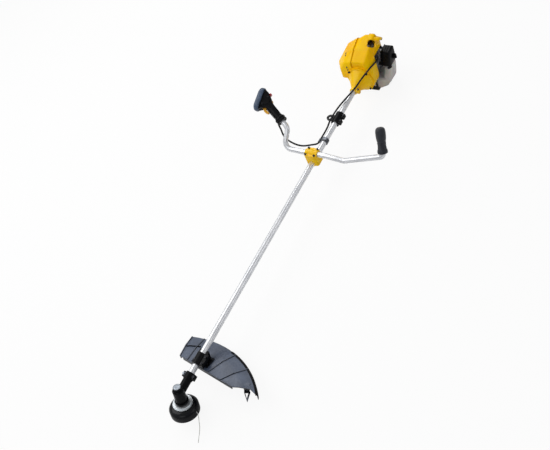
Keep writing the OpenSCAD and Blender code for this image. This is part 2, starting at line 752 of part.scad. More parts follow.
hanger_l = 56;
eye_y = -36;
module hanger_clamp() color("dimgray") on_shaft() difference() {
  union() {
    along_shaft(hanger_x - hanger_l / 2) cylinder(r = 18.5, h = hanger_l);
    for (x = [-hanger_l / 2 + 2, hanger_l / 2 - 22]) translate([hanger_x + x, 6, -8]) cube([20, 20, 16]);
    translate([hanger_x - 16, eye_y, -eye_t / 2]) cube([32, -eye_y - 14, eye_t]);
    translate([hanger_x, eye_y, -eye_t / 2]) cylinder(r = 16, h = eye_t);
  }
  along_shaft(hanger_x - 50) cylinder(r = tube_r + fit_gap, h = 100);
  translate([hanger_x - 50, 0, -1]) cube([100, 50, 2]);
  translate([hanger_x, eye_y, -10]) cylinder(r = eye_r, h = 20);
  for (x = [-16, 16]) translate([hanger_x + x, 21.6, 8]) screw_hole(20);
}

clip_pos = [-26, -4];                 // Y and Z of the cable where the clip holds it
clip_x = 278;
module cable_clip() color("silver") on_shaft() difference() {
  union() {
    along_shaft(clip_x) cylinder(r = 16, h = 18);
    translate([clip_x, clip_pos[0] + 4, clip_pos[1] - 2]) cube([18, 12, 4]);
    translate([clip_x, clip_pos[0], clip_pos[1]]) rotate([0, 90, 0]) cylinder(r = 5.5, h = 18);
    translate([clip_x + 2, -4, 14]) cube([14, 16, 5]);
  }
  along_shaft(clip_x - 1) cylinder(r = tube_r + fit_gap, h = 20);
  translate([clip_x - 1, clip_pos[0], clip_pos[1]]) rotate([0, 90, 0]) cylinder(r = cable_r + 0.7, h = 20);
}

// --- handlebar clamp, bars and left grip ---

clamp_l = 46;
clamp_w = 56;
module at_clamp_screws() {
  for (x = [-17.7, 17.7], y = [-20.5, 20.5]) translate([bar_x + x, y, bar_rise + 9]) children();
}

module clamp_base() color("gold") on_shaft() difference() {
  intersection() {
    section(bar_x - clamp_l / 2, clamp_l) {
      circle(tube_r + 6);
      translate([-clamp_w / 2, -12]) square([clamp_w, 12]);
    }
    translate([bar_x, 0, -40]) linear_extrude(40 - 0.3) round_rect(clamp_l, clamp_w, 9);
  }
  along_shaft(bar_x - 50) cylinder(r = tube_r + fit_gap, h = 100);
  at_clamp_screws() screw_hole(60);
}

module clamp_saddle() color("gold") on_shaft() difference() {
  translate([bar_x, 0, 0.3]) linear_extrude(bar_rise - 0.6) round_rect(clamp_l, clamp_w, 9);
  along_shaft(bar_x - 50) cylinder(r = tube_r + fit_gap, h = 100);
  translate([bar_x, -60, bar_rise]) rotate([-90, 0, 0]) cylinder(r = bar_r + fit_gap, h = 120);
  at_clamp_screws() screw_hole(60);
}

module clamp_cap() color("gold") on_shaft() difference() {
  intersection() {
    union() {
      side(-clamp_w / 2, clamp_w) translate([bar_x, bar_rise]) circle(bar_r + 5);
      translate([bar_x - clamp_l / 2, -clamp_w / 2, bar_rise]) cube([clamp_l, clamp_w, 9]);
    }
    translate([bar_x, 0, bar_rise + 0.3]) linear_extrude(40) round_rect(clamp_l, clamp_w, 9);
  }
  translate([bar_x, -60, bar_rise]) rotate([-90, 0, 0]) cylinder(r = bar_r + fit_gap, h = 120);
  at_clamp_screws() screw_hole(60);
}

grip_axis = unit([-0.417, -0.804, 0.4275]);
trigger_dir = unit([0.858, -0.504, -0.11]);
handle_out = cross(grip_axis, trigger_dir);
handle_base = [bar_x - 78.7, -163, bar_rise + 84];
function handle_point(x, y, z) = handle_base + x * trigger_dir + y * handle_out + z * grip_axis;
bar_in = 48;                          // length of bar inside the throttle handle
right_points = [[bar_x, -0.5, bar_rise], [bar_x, -60, bar_rise], [bar_x, -134, bar_rise + 4],
  handle_point(0, 0, -45), handle_point(0, 0, bar_in)];
left_axis = unit([-0.45, -0.12, 0.885]);
tight_bend = 16;                      // radius of the bend under the grip
grip_from = 14;                       // from that bend's corner to the grip
left_bend = [bar_x - 13, 324, bar_rise + 48];
left_points = [[bar_x, 0.5, bar_rise], [bar_x, 60, bar_rise], [bar_x, 146, bar_rise - 9], left_bend,
  left_bend + (grip_from + grip_l - 4) * left_axis];

// The same run, with both ends pushed out so that the bore opens them
function longer(p) = [for (i = [0 : len(p) - 1])
  i == 0 ? p[0] - unit(p[1] - p[0])
  : i == len(p) - 1 ? p[i] + unit(p[i] - p[i - 1]) : p[i]];

module bar(p, last_bend) {
  bends = [bend_r, bend_r, bend_r, last_bend, bend_r];
  difference() {
    bent_rod(p, bar_r, bends);
    bent_rod(longer(p), bar_r - bar_wall, bends);
  }
}

module left_bar() color("silver") on_shaft() bar(left_points, tight_bend);

module right_bar() color("silver") on_shaft() bar(right_points, bend_r);

module left_grip() color("dimgray") on_shaft() aim(left_bend + grip_from * left_axis, left_axis, [1, 0, 0]) {
  r = grip_d / 2;
  rotate_extrude() polygon([[bar_r + fit_gap, 0], [r + 2, 0], [r + 4, 4], [r + 3, 14], [r - 1, 26],
    [r - 1.5, 40], [r + 1, 52], [r + 3, 62], [r + 3.5, grip_l - 20], [r + 2, grip_l - 8],
    [r - 4, grip_l - 1], [r - 8, grip_l], [0, grip_l], [0, grip_l - 3.6],
    [bar_r + fit_gap, grip_l - 3.6]]);
}

// --- throttle handle ---

module on_handle() { on_shaft() aim(handle_base, grip_axis, trigger_dir) children(); }

pivot = [8, 90];                      // trigger's pivot in the handle: X and Z
latch = [-9, 70];                     // lockout lever's pivot
handle_screws = [[-20, 112], [16, 104]];
cable_end = [8, 14];                  // where the cable enters the handle
module handle_body() {
  translate([0, 0, -10]) cylinder(r = 19, h = 26);
  translate([0, 0, 14]) cylinder(r = 17, h = 50);
  side(-15, 30) polygon([[-16, 28], [-17, 66], [-20, 84], [-28, 101], [-34, 122], [-33, 148],
    [44, 100], [30, 92], [17, 84], [17, 28]]);
  side(-17, 34) polygon([[-16, 92], [-25, 104], [-30, 122], [-29, 146], [36, 104], [14, 96], [0, 88]]);
  translate([8, 0, 126]) rotate([0, 32, 0]) {
    translate([0, 0, -3]) linear_extrude(13) oval(102, 50);
    linear_extrude(15.5) oval(95, 43);
    linear_extrude(19.5) oval(80, 30);
  }
}

module handle_half(up) {
  difference() {
    intersection() {
      handle_body();
      translate([-80, up ? 0.15 : -80.15, -40]) cube([160, 80, 260]);
    }
    translate([0, 0, -20]) cylinder(r = bar_r + fit_gap, h = bar_in + 20.3);
    side(-5.5, 11) {
      translate([bar_r + 0.5, 44]) square([40, 54]);
      translate([-40, 62]) square([44, 36]);
      translate([2, 50]) square([20, 20]);
      translate([0, 62]) square([30, 37]);
    }
    translate([-48, -7.5, 109]) cube([20, 15, 22]);
    translate([pivot[0], 11.5, pivot[1]]) rotate([90, 0, 0]) cylinder(r = 3 + run_gap, h = 23);
    translate([latch[0], 9.5, latch[1]]) rotate([90, 0, 0]) cylinder(r = 2.5 + run_gap, h = 19);
    translate([cable_end[0], -30, cable_end[1]]) rotate([-90, 0, 0]) cylinder(r = cable_r + 0.2, h = 17.5);
    for (p = handle_screws) translate([p[0], 17, p[1]]) rotate([-90, 0, 0]) {
      screw_hole(26);
      translate([0, 0, -3]) cylinder(r = screw_head_r + 0.3, h = 12);
    }
  }
}

module handle_upper() color("dimgray") on_handle() handle_half(true);

module handle_lower() color("dimgray") on_handle() handle_half(false);

module trigger() color("gold") on_handle() {
  side(-4.5, 9) polygon([[3, 84], [5, 96], [14, 97], [26, 94], [31, 76], [29, 62], [23, 54], [19, 56],
    [20, 74], [14, 84]]);
  translate([pivot[0], 11, pivot[1]]) rotate([90, 0, 0]) cylinder(r = 3, h = 22);
}

module lockout_lever() color("gold") on_handle() {
  side(-4.2, 8.4) polygon([[-14, 65], [-17.5, 80], [-24, 84], [-25, 89], [-21, 93], [-12, 92], [-6, 73],
    [-6, 65]]);
  translate([latch[0], 9, latch[1]]) rotate([90, 0, 0]) cylinder(r = 2.5, h = 18);
}

module stop_switch() color("red") on_handle() {
  translate([-38, -6.9, 111.5]) cube([9.5, 13.8, 9.5]);
  translate([-40.5, -6.9, 113]) cube([4, 13.8, 6.5]);
}

// --- throttle cable ---

cable_r = 3.8;
// From the carburettor, over the clutch housing, under the hanger's side, to the handle
cable_route = [
  [carb_x + 28, carb_y[0] + 25, carb_top - 7], [-156, 66, 68], [-146, 70, 69], [-134, 72, 71],
  [-120, 72, 73], [-104, 69, 73], [-88, 63, 71],
  [-70, 52, 62], [-40, 34, 45], [0, 19, 30], [34, 6, 23], [68, -5, 20],
  [100, -12, 19], [125, -17, 17], [160, -19, 17], [192, -20, 14], [212, -22, 4], [236, -25, -3],
  [258, clip_pos[0], clip_pos[1]], [276, clip_pos[0], clip_pos[1]], [clip_x + 20, clip_pos[0], clip_pos[1]],
  [307, -36, -6], [311, -60, -12], [313, -84, -20], [315, -106, -24], [317, -128, -21], [318, -148, -12],
  [317, -166, -2], [315, -180, 12], [311, -188, 30], [307, -190, 54], [306, -192, 80],
  handle_point(cable_end[0], -34, cable_end[1] - 2), handle_point(cable_end[0], -24, cable_end[1]),
  handle_point(cable_end[0], -13, cable_end[1])
];

// Rounds the route: three steps along a curve through every point
function between(a, b, c, d, t) = 0.5 * ((2 * b) + (c - a) * t + (2 * a - 5 * b + 4 * c - d) * t * t
  + (3 * b - a - 3 * c + d) * t * t * t);
function smooth(p, steps) = [for (i = [0 : len(p) - 2], k = [0 : steps - 1])
  between(p[max(i - 1, 0)], p[i], p[i + 1], p[min(i + 2, len(p) - 1)], k / steps), p[len(p) - 1]];

module throttle_cable() color("dimgray") on_shaft() sweep(smooth(cable_route, 2), cable_r, 10);

// --- guard and its bracket ---

guard_centre = [126.5, -26];          // centre of the guard's curved edge, in the head's frame
guard_z = 22;                         // top of the guard's flat part
guard_flat_r = guard_r - 58;
guard_turn = [-15.8, 54];
rim_z = 10;
lip_z = rim_z - lip_h;
cutter_pos = guard_centre + (guard_r - 30) * unit([-254.5, 230]);
cutter_z = -6;

module guard_mask() {
  translate([0, 0, -60]) linear_extrude(160) polygon([[-153, -293], [-126, -83], [-94, 167], [-118, 226],
    [-103, 276], [-80, 340], [-420, 340], [-420, -293]]);
}

module guard_sweep(a0, a1) {
  translate([guard_centre[0], guard_centre[1], 0]) rotate(180 - a1)
    rotate_extrude(angle = a1 - a0, $fn = 96) children();
}

module at_guard_bolts() {
  for (x = [-160, -132], y = [-28, 28]) translate([x, y, guard_z]) children();
}

module guard() color("dimgray") difference() {
  on_head() difference() {
    union() {
      intersection() {
        union() {
          guard_sweep(guard_turn[0], guard_turn[1]) polygon([[180, guard_z], [guard_flat_r, guard_z],
            [guard_r - 2, rim_z], [guard_r, rim_z - 2], [guard_r, lip_z],
            [guard_r - guard_wall, lip_z], [guard_r - guard_wall, rim_z - guard_wall],
            [guard_flat_r - 0.5, guard_z - guard_wall], [180, guard_z - guard_wall]]);
          for (a = [guard_turn[0] + 0.6, -7.2, 17.5, 31, guard_turn[1] - 0.6])
            translate([guard_centre[0], guard_centre[1], 0]) rotate([90, 0, 180 - a])
              translate([0, 0, -1.5]) linear_extrude(3) polygon([[230, guard_z - 12], [230, guard_z + 3],
                [guard_flat_r, guard_z + 3], [guard_r - 1.5, rim_z + 2.5], [guard_r - 1.5, lip_z + 8],
                [guard_flat_r, guard_z - 16]]);
        }
        guard_mask();
      }
      translate([-125, -80, guard_z - 12]) rotate(82.7) cube([248, 3, 13]);
      at_guard_bolts() translate([0, 0, -12]) cylinder(r = 6, h = 10);
      translate([cutter_pos[0] - 10, cutter_pos[1] - 9, cutter_z + 1.8]) cube([20, 18, 19]);
    }
    at_guard_bolts() screw_hole(20);
    translate([cutter_pos[0], cutter_pos[1], cutter_z]) rotate([180, 0, 0]) screw_hole(18);
  }
  on_shaft() along_shaft(guard_x - 30) cylinder(r = tube_r + 7, h = 220);
}

module guard_bracket() color("dimgray") difference() {
  union() {
    on_shaft() section(guard_x - 23, 46) {
      circle(18);
      translate([0, -8]) square([31, 16]);
    }
    intersection() {
      on_shaft() translate([guard_x - 40, -20, -90]) cube([80, 40, 90]);
      on_head() translate([-168, -34, guard_z + 0.3]) cube([46, 68, 60]);
    }
    on_head() translate([-168, -36, guard_z + 0.3]) cube([44, 72, 5.7]);
  }
  on_shaft() {
    along_shaft(guard_x - 80) cylinder(r = tube_r + fit_gap, h = 170);
    translate([guard_x - 60, 0, -1]) cube([120, 50, 2]);
    for (x = [-13, 13]) translate([guard_x + x, 25, 8]) screw_hole(22);
  }
  on_head() at_guard_bolts() translate([0, 0, 6]) screw_hole(20);
}

// Steel blade that trims the line to length
module line_cutter() color("silver") on_head() difference() {
  translate([cutter_pos[0], cutter_pos[1], cutter_z]) linear_extrude(1.5) polygon([[-12, -8], [10, -8],
    [20, -1], [49, 33], [10, 19], [2, 10], [-12, 9]]);
  translate([cutter_pos[0], cutter_pos[1], cutter_z - 1]) {
    linear_extrude(4) polygon([[20, 4], [36, 22], [15, 14]]);
    cylinder(r = screw_r + screw_gap, h = 4);
  }
}

// --- gear case, pinion and bevel gear ---

tooth_face = 7;
shaft_angle = 90 - head_tilt;
pinion_cone = atan(sin(shaft_angle) / (gear_teeth / pinion_teeth + cos(shaft_angle)));
gear_cone = shaft_angle - pinion_cone;
cone_l = gear_teeth * tooth_size / 2 / sin(gear_cone);   // from the crossing out along the cones
case_bottom = low_bearing_z - 3;
module gear_case() color("dimgray") difference() {
  union() {
    on_shaft() {
      along_shaft(gear_x) cylinder(r = 18, h = 26);
      along_shaft(gear_x + 24) cylinder(r = 16, h = gear_reach - 24);
      translate([gear_x + 2, -26, -7]) cube([20, 52, 14]);
    }
    on_head() {
      translate([0, 0, case_bottom]) cylinder(r = 21, h = 20 - case_bottom);
      translate([0, 0, 20]) cylinder(r1 = 21, r2 = 17, h = 6);
      translate([0, 0, 26]) cylinder(r = 14.5, h = 10);
      translate([0, 0, case_bottom]) cylinder(r = 25, h = 6);
    }
  }
  on_shaft() {
    along_shaft(gear_x - 1) cylinder(r = tube_r + fit_gap, h = gear_seat + 1 + fit_gap);
    along_shaft(gear_x) cylinder(r = 11, h = gear_reach - 30);
    along_shaft(pinion_x + 1) cylinder(r = pinion_bearing[1] + fit_gap, h = 17);
    along_shaft(pinion_x + 17) cylinder(r = 13, h = 16);
    translate([gear_x - 1, -40, -1]) cube([27, 80, 2]);
    for (y = [-21.5, 21.5]) translate([gear_x + 12, y, 7]) screw_hole(20);
  }
  on_head() {
    translate([0, 0, 5]) cylinder(r = 17.5, h = top_bearing_z - 5);
    translate([0, 0, case_bottom - 1]) cylinder(r = 8.5, h = 50);
    translate([0, 0, top_bearing_z - 1]) cylinder(r = 13 + fit_gap, h = 9.2);
    translate([0, 0, case_bottom - 1])
      cylinder(r = low_bearing[1] + fit_gap, h = 1 + low_bearing_z + low_bearing[2] - case_bottom);
  }
}

// Point on a gear's cone: along the cone, then square off it, as radius and height
function cone_point(cone, along, off) =
  [along * sin(cone) + off * cos(cone), along * cos(cone) - off * sin(cone)];

// Straight bevel teeth, cut between neighbours by a tapered wedge
module bevel(teeth, cone, bore, hub_r, hub_end, phase) {
  back = cone_point(cone, cone_l, -3.9);
  face = cone_l - tooth_face;
  front = cone_point(cone, face, -2.7);
  difference() {
    rotate_extrude() polygon([[bore, front[1]], front, cone_point(cone, face, 1.2),
      cone_point(cone, cone_l, 1.2), back, [back[0], back[1] + 1.2], [hub_r, back[1] + 1.2],
      [hub_r, hub_end], [bore, hub_end]]);
    for (i = [0 : teeth - 1]) rotate(360 * i / teeth + phase) rotate([0, cone, 0])
      translate([0, 0, face - 4]) linear_extrude(tooth_face + 8)
        polygon([[-1.9, -0.8], [-1.9, 0.8], [2.5, 2.08], [2.5, -2.08]]);
  }
}

module pinion() color("silver") on_shaft() translate([bend_x, 0, 0]) rotate([0, -90, 0])
  bevel(pinion_teeth, pinion_cone, drive_r + fit_gap, 5, bend_x - pinion_x, 0);

module bevel_gear() color("silver") on_head()
  bevel(gear_teeth, gear_cone, 5 + fit_gap, 8, top_bearing_z - 0.5, 180 / gear_teeth);

module output_shaft() color("silver") on_head() {
  translate([0, 0, low_bearing_z - 2]) cylinder(r = low_bearing[0], h = 13 - low_bearing_z);
  cylinder(r = 5, h = top_bearing_z + 7.5);
  translate([0, 0, holder_z - 26]) cylinder(r = 5, h = low_bearing_z - holder_z + 25);
}

// --- line head ---

holder_z = -51;                       // underside of the holder discs
shoulder_z = holder_z - 2;
rim_top_z = shoulder_z - 15;
rim_bottom_z = holder_z - head_h;
cover_z = rim_bottom_z - 8;
holder_r = 36;

module holder_discs() color("lightgray") on_head() {
  difference() {
    union() {
      translate([0, 0, holder_z + 5]) cylinder(r = holder_r - 3, h = 4.5);
      translate([0, 0, holder_z + 5]) cylinder(r = 11, h = low_bearing_z - 2.3 - holder_z - 5);
    }
    translate([0, 0, -60]) cylinder(r = 5 + fit_gap, h = 60);
  }
  translate([0, 0, holder_z]) ring(holder_r, 5 + fit_gap, 4.7);
}

module line_head() color("dimgray") on_head() difference() {
  rotate_extrude() polygon([[5 + fit_gap, holder_z - 0.3], [20, holder_z - 0.3], [20, shoulder_z],
    [34, shoulder_z], [43, shoulder_z - 3], [50, shoulder_z - 8], [head_r, rim_top_z],
    [head_r, rim_bottom_z], [head_r - 2.5, rim_bottom_z], [head_r - 2.5, rim_top_z - 1],
    [48, shoulder_z - 10.5], [42, shoulder_z - 6.5], [34, shoulder_z - 4], [11, shoulder_z - 4],
    [10, holder_z - 24], [5 + fit_gap, holder_z - 24]]);
  for (a = [93, 273]) rotate(a) translate([head_r - 10, 0, rim_top_z - 5]) rotate([0, 90, 0])
    cylinder(r = line_d / 2 + 1.5, h = 20);
}

module head_cover() color("dimgray") on_head() rotate_extrude() polygon([[head_r - 2.5, rim_bottom_z - 0.3],
  [head_r, rim_bottom_z - 0.3], [head_r, cover_z + 6], [head_r - 6, cover_z], [35, cover_z],
  [35, cover_z + 2.5], [head_r - 7, cover_z + 2.5], [head_r - 2.5, cover_z + 7]]);

module line_spool() color("gray") on_head() rotate_extrude() polygon([[11.3, shoulder_z - 12],
  [46, shoulder_z - 12], [46, shoulder_z - 14], [22, shoulder_z - 14], [22, cover_z + 14],
  [49, cover_z + 14], [49, cover_z + 12], [11.3, cover_z + 12]]);

module bump_knob() color("dimgray") on_head() {
  top = cover_z + 2.8;
  rotate_extrude() polygon([[0, cover_z - 7], [22, cover_z - 7], [29, cover_z - 5], [34, cover_z - 1],
    [34, top], [39, top], [39, top + 2], [30, top + 2], [28, cover_z - 2.4], [21, cover_z - 4.4],
    [0, cover_z - 4.4]]);
}

// --- nylon line, leaving the head and lying out on the ground ---

line_route = [
  [1494.2, 23.5, -69.2], [1493.5, 36, -69.2], [1493, 47, -69.2], [1492.6, 56, -69], [1497, 64, -69],
  [1506.1, 71.6, -72], [1519.6, 78.2, -81], [1530.2, 81.8, -91.5], [1542.8, 85.1, -99.5],
  [1557.6, 90.5, -102.6], [1568, 95.7, -103.1], [1579, 100.3, -103.2]
];
module cutting_line() color("ivory") on_shaft() sweep(smooth(line_route, 3), line_d / 2);

// --- screws ---

module socket_screws() color("dimgray") {
  on_shaft() {
    at_bell_lugs() along_shaft(fan_x + bell_flange + 2) socket_screw(16);
    translate([-8, clamp_ear, 9]) socket_screw(20);
    for (x = [-16, 16]) translate([hanger_x + x, 21.6, 8]) socket_screw(18);
    at_clamp_screws() socket_screw(55);
    for (x = [-13, 13]) translate([guard_x + x, 25, 8]) socket_screw(18);
    for (y = [-21.5, 21.5]) translate([gear_x + 12, y, 7]) socket_screw(16);
    for (y = [-20, 20]) translate([foot_x, y, case_foot - 4]) rotate([180, 0, 0]) socket_screw(12);
  }
  on_head() {
    at_guard_bolts() translate([0, 0, 6]) socket_screw(16);
    translate([cutter_pos[0], cutter_pos[1], cutter_z]) rotate([180, 0, 0]) socket_screw(16);
  }
  on_handle() for (p = handle_screws) translate([p[0], 14, p[1]]) rotate([-90, 0, 0]) socket_screw(24);
}

main_tube();
shaft_bushings();
drive_shaft();
clutch_housing();
fan_housing();
engine_cover();
crankcase();
engine_cylinder();
spark_plug();
plug_boot();
muffler();
bearings();
crankshaft();
flywheel();
clutch_shoes();
clutch_drum();
carburettor();
throttle_arm();
choke_lever();
primer_bulb();
filter_base();
filter_element();
filter_cover();
filter_knob();
fuel_tank();
fuel_cap();
fuel_hoses();
tank_stand();
starter_housing();
starter_pulley();
starter_rope();
starter_handle();
hanger_clamp();
cable_clip();
clamp_base();
clamp_saddle();
clamp_cap();
left_bar();
right_bar();
left_grip();
handle_upper();
handle_lower();
trigger();
lockout_lever();
stop_switch();
throttle_cable();
socket_screws();
guard();
guard_bracket();
line_cutter();
gear_case();
pinion();
bevel_gear();
output_shaft();
line_head();
head_cover();
holder_discs();
line_spool();
bump_knob();
cutting_line();
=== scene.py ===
import bpy
import bmesh
import math
from mathutils import Matrix, Vector


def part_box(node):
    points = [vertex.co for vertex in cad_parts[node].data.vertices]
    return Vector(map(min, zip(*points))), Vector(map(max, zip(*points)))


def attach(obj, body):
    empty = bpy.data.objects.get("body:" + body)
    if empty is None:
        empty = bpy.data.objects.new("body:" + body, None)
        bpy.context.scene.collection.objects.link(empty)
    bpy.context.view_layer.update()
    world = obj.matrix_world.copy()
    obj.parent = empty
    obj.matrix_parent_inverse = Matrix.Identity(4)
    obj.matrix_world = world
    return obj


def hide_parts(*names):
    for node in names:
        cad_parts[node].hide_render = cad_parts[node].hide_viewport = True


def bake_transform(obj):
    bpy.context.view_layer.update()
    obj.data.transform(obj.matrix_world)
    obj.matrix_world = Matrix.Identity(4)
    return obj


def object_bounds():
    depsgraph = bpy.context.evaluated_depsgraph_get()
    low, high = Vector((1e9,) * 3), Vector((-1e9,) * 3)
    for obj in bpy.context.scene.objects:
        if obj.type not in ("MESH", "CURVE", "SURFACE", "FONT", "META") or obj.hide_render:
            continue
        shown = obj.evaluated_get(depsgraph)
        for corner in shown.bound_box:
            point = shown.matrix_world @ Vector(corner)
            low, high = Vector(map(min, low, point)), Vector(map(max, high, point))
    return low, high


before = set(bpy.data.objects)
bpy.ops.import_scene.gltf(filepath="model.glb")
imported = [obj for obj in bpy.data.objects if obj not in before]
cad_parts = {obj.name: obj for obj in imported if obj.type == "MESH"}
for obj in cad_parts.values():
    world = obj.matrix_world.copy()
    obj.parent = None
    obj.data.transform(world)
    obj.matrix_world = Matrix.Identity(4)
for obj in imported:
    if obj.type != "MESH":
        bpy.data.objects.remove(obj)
cadLow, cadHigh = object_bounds()
scene = bpy.context.scene
scene.view_settings.view_transform = "Standard"
print("frame loaded:", len(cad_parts), "nodes")

mm = 0.001


def axes(origin, zAxis, xHint):
    zDir = Vector(zAxis).normalized()
    yDir = zDir.cross(Vector(xHint)).normalized()
    xDir = yDir.cross(zDir)
    place = Matrix.Identity(4)
    for i, column in enumerate((xDir, yDir, zDir, Vector(origin) * mm)):
        place.col[i][0:3] = column
    return place


# the tube starts at the engine's mouth and runs along x, in mm
mouthX, shaftHigh = 194, 124
headAlong, tilt = 1472, math.radians(19)  # the head leans back from the tube
shaftPlace = Matrix.Translation(Vector((mouthX, 0, shaftHigh)) * mm)
headPlace = axes((mouthX + headAlong, 0, shaftHigh), (-math.sin(tilt), 0, math.cos(tilt)), (1, 0, 0))
handlePlace = axes((mouthX + 309.3, -163, shaftHigh + 120), (-0.417, -0.804, 0.4275), (0.858, -0.504, -0.11))
leftLean = Vector((-0.45, -0.12, 0.885)).normalized()
gripPlace = axes(Vector((mouthX + 375, 324, shaftHigh + 84)) + 14 * leftLean, leftLean, (1, 0, 0))


camera = {"at": (1.98373, 1.35475, 2.11857), "lens": 43.92,
          "right": (-0.45790872, 0.82837337, -0.3226719),
          "down": (0.79339517, 0.21705341, -0.56869317),
          "ahead": (-0.40105324, -0.51641589, -0.75661809)}


def setCamera():
    data = bpy.data.cameras.new("camera")
    data.lens, data.sensor_width = camera["lens"], 36
    data.clip_start, data.clip_end = 0.05, 60
    made = bpy.data.objects.new("camera", data)
    turn = Matrix.Identity(4)
    for i, (name, sign) in enumerate((("right", 1), ("down", -1), ("ahead", -1))):
        turn.col[i][0:3] = [sign * v for v in camera[name]]
    turn.col[3][0:3] = camera["at"]
    made.matrix_world = turn
    scene.collection.objects.link(made)
    scene.camera = made


setCamera()


def linear(code):
    parts = [int(code[i:i + 2], 16) / 255 for i in (1, 3, 5)]
    return [c / 12.92 if c <= 0.04045 else ((c + 0.055) / 1.055) ** 2.4 for c in parts] + [1.0]


def addNode(tree, kind, values=None, links=None, **settings):
    made = tree.nodes.new("ShaderNode" + kind)
    for name, value in settings.items():
        setattr(made, name, value)
    for name, value in (values or {}).items():
        made.inputs[name].default_value = value
    for name, source in (links or {}).items():
        tree.links.new(source, made.inputs[name])
    return made


studio = {"skyBright": "#ffffff", "skyDull": "#6c7078", "skyLevel": 0.5, "floor": "#f4f4f4", "floorGlow": 0.9,
          "glossShare": 0.25,
          "lamps": [("key", (1.2, -2.1, 3.0), 2.8, 60), ("fill", (-0.4, 3.0, 1.9), 2.0, 14),
                    ("front", (3.6, 0.9, 2.4), 1.8, 14), ("rim", (-1.6, -1.6, 2.4), 1.2, 22)]}


def setStudio():
    world = bpy.data.worlds.new("studioSky")
    world.use_nodes = True
    scene.world = world
    tree = world.node_tree
    tree.nodes.clear()
    way = addNode(tree, "TexCoord")
    split = addNode(tree, "SeparateXYZ", links={0: way.outputs["Generated"]})
    side = addNode(tree, "Math", {1: -0.75}, {0: split.outputs["Y"], 2: split.outputs["Z"]},
                   operation="MULTIPLY_ADD")
    rise = addNode(tree, "MapRange", {"From Min": -0.5, "From Max": 1.1}, {"Value": side.outputs[0]})
    sky = addNode(tree, "Mix", {6: linear(studio["skyDull"]), 7: linear(studio["skyBright"])},
                  {0: rise.outputs[0]}, data_type="RGBA")
    dome = addNode(tree, "Background", {"Strength": studio["skyLevel"]}, {"Color": sky.outputs[2]})
    white = addNode(tree, "Background", {"Color": (1, 1, 1, 1), "Strength": 1.0})
    path = addNode(tree, "LightPath")
    shiny = addNode(tree, "Math", links={0: path.outputs["Is Glossy Ray"],
                                         1: path.outputs["Is Transmission Ray"]}, operation="MAXIMUM")
    dimmed = addNode(tree, "Math", {1: studio["glossShare"]}, {0: shiny.outputs[0]}, operation="MULTIPLY")
    seen = addNode(tree, "Math", links={0: path.outputs["Is Camera Ray"], 1: dimmed.outputs[0]},
                   operation="MAXIMUM")
    mix = addNode(tree, "MixShader", links={0: seen.outputs[0], 1: dome.outputs[0], 2: white.outputs[0]})
    addNode(tree, "OutputWorld", links={0: mix.outputs[0]})

    middle = (cadLow + cadHigh) / 2
    for name, at, side, power in studio["lamps"]:
        data = bpy.data.lights.new(name, "AREA")
        data.shape, data.size, data.energy = "SQUARE", side, power
        lamp = bpy.data.objects.new(name, data)
        lamp.location = Vector(at) + Vector((middle.x - 0.8, 0, 0))
        lamp.rotation_euler = (middle - lamp.location).to_track_quat("-Z", "Y").to_euler()
        scene.collection.objects.link(lamp)

    bm = bmesh.new()
    bmesh.ops.create_grid(bm, x_segments=2, y_segments=2, size=14)
    mesh = bpy.data.meshes.new("studioFloor")
    bm.to_mesh(mesh)
    bm.free()
    floor = bpy.data.objects.new("studioFloor", mesh)
    floor.location.z = cadLow.z - 0.0005
    scene.collection.objects.link(floor)
    card = bpy.data.materials.new("paleFloor")
    card.use_nodes = True
    tree = card.node_tree
    tree.nodes.clear()
    matt = addNode(tree, "BsdfDiffuse", {"Color": linear(studio["floor"])})
    glow = addNode(tree, "Emission", {"Color": (1, 1, 1, 1), "Strength": 1.0})
    path = addNode(tree, "LightPath")
    share = addNode(tree, "Math", {1: studio["floorGlow"]}, {0: path.outputs["Is Camera Ray"]},
                    operation="MULTIPLY")
    mix = addNode(tree, "MixShader", links={0: share.outputs[0], 1: matt.outputs[0], 2: glow.outputs[0]})
    addNode(tree, "OutputMaterial", links={0: mix.outputs[0]})
    mesh.materials.append(card)


setStudio()
print("camera and studio set")


def startFinish(name, look):
    material = bpy.data.materials.new(name)
    material.use_nodes = True
    tree = material.node_tree
    shader = tree.nodes["Principled BSDF"]
    for key, socket in (("rough", "Roughness"), ("metal", "Metallic"), ("ior", "IOR"), ("coat", "Coat Weight"),
                        ("coatRough", "Coat Roughness"), ("clear", "Transmission Weight"),
                        ("shine", "Specular IOR Level"), ("sheen", "Sheen Weight"),
                        ("deep", "Subsurface Weight"), ("deepScale", "Subsurface Scale")):
        if key in look:
            shader.inputs[socket].default_value = look[key]
    return material, tree, shader, addNode(tree, "TexCoord").outputs["Object"]


def mottled(tree, place, look):
    cloud = addNode(tree, "TexNoise", {"Scale": 1000 / look["tone"], "Detail": 3.0}, {"Vector": place})
    base = addNode(tree, "Mix", {6: linear(look["colour"]), 7: linear(look["shade"])},
                   {0: addNode(tree, "MapRange", {"From Min": 0.35, "From Max": 0.7},
                               {"Value": cloud.outputs[0]}).outputs[0]}, data_type="RGBA")
    return base, cloud


# edges take their own edge colour: partly wear, partly painted light, a painted highlight where it is lighter
# and painted shade on the guard where it is darker
def wornAndLitEdges(tree, base, look):
    if look.get("edge") == 0:  # drawn tubes and turned discs get no edge colour
        return base, None
    soft = addNode(tree, "Bevel", {"Radius": look.get("edge", 1.2) * mm}, samples=4)
    flat = addNode(tree, "NewGeometry")
    match = addNode(tree, "VectorMath", links={0: soft.outputs[0], 1: flat.outputs["Normal"]},
                    operation="DOT_PRODUCT")
    rub = addNode(tree, "MapRange", {"From Min": 0.985, "From Max": 0.8, "To Max": look.get("rub", 0.5)},
                  {"Value": match.outputs["Value"]})
    wornAndLit = addNode(tree, "Mix", {7: linear(look.get("edgeWearAndLight", look["colour"]))},
                   {0: rub.outputs[0], 6: base.outputs[2]}, data_type="RGBA")
    return wornAndLit, soft


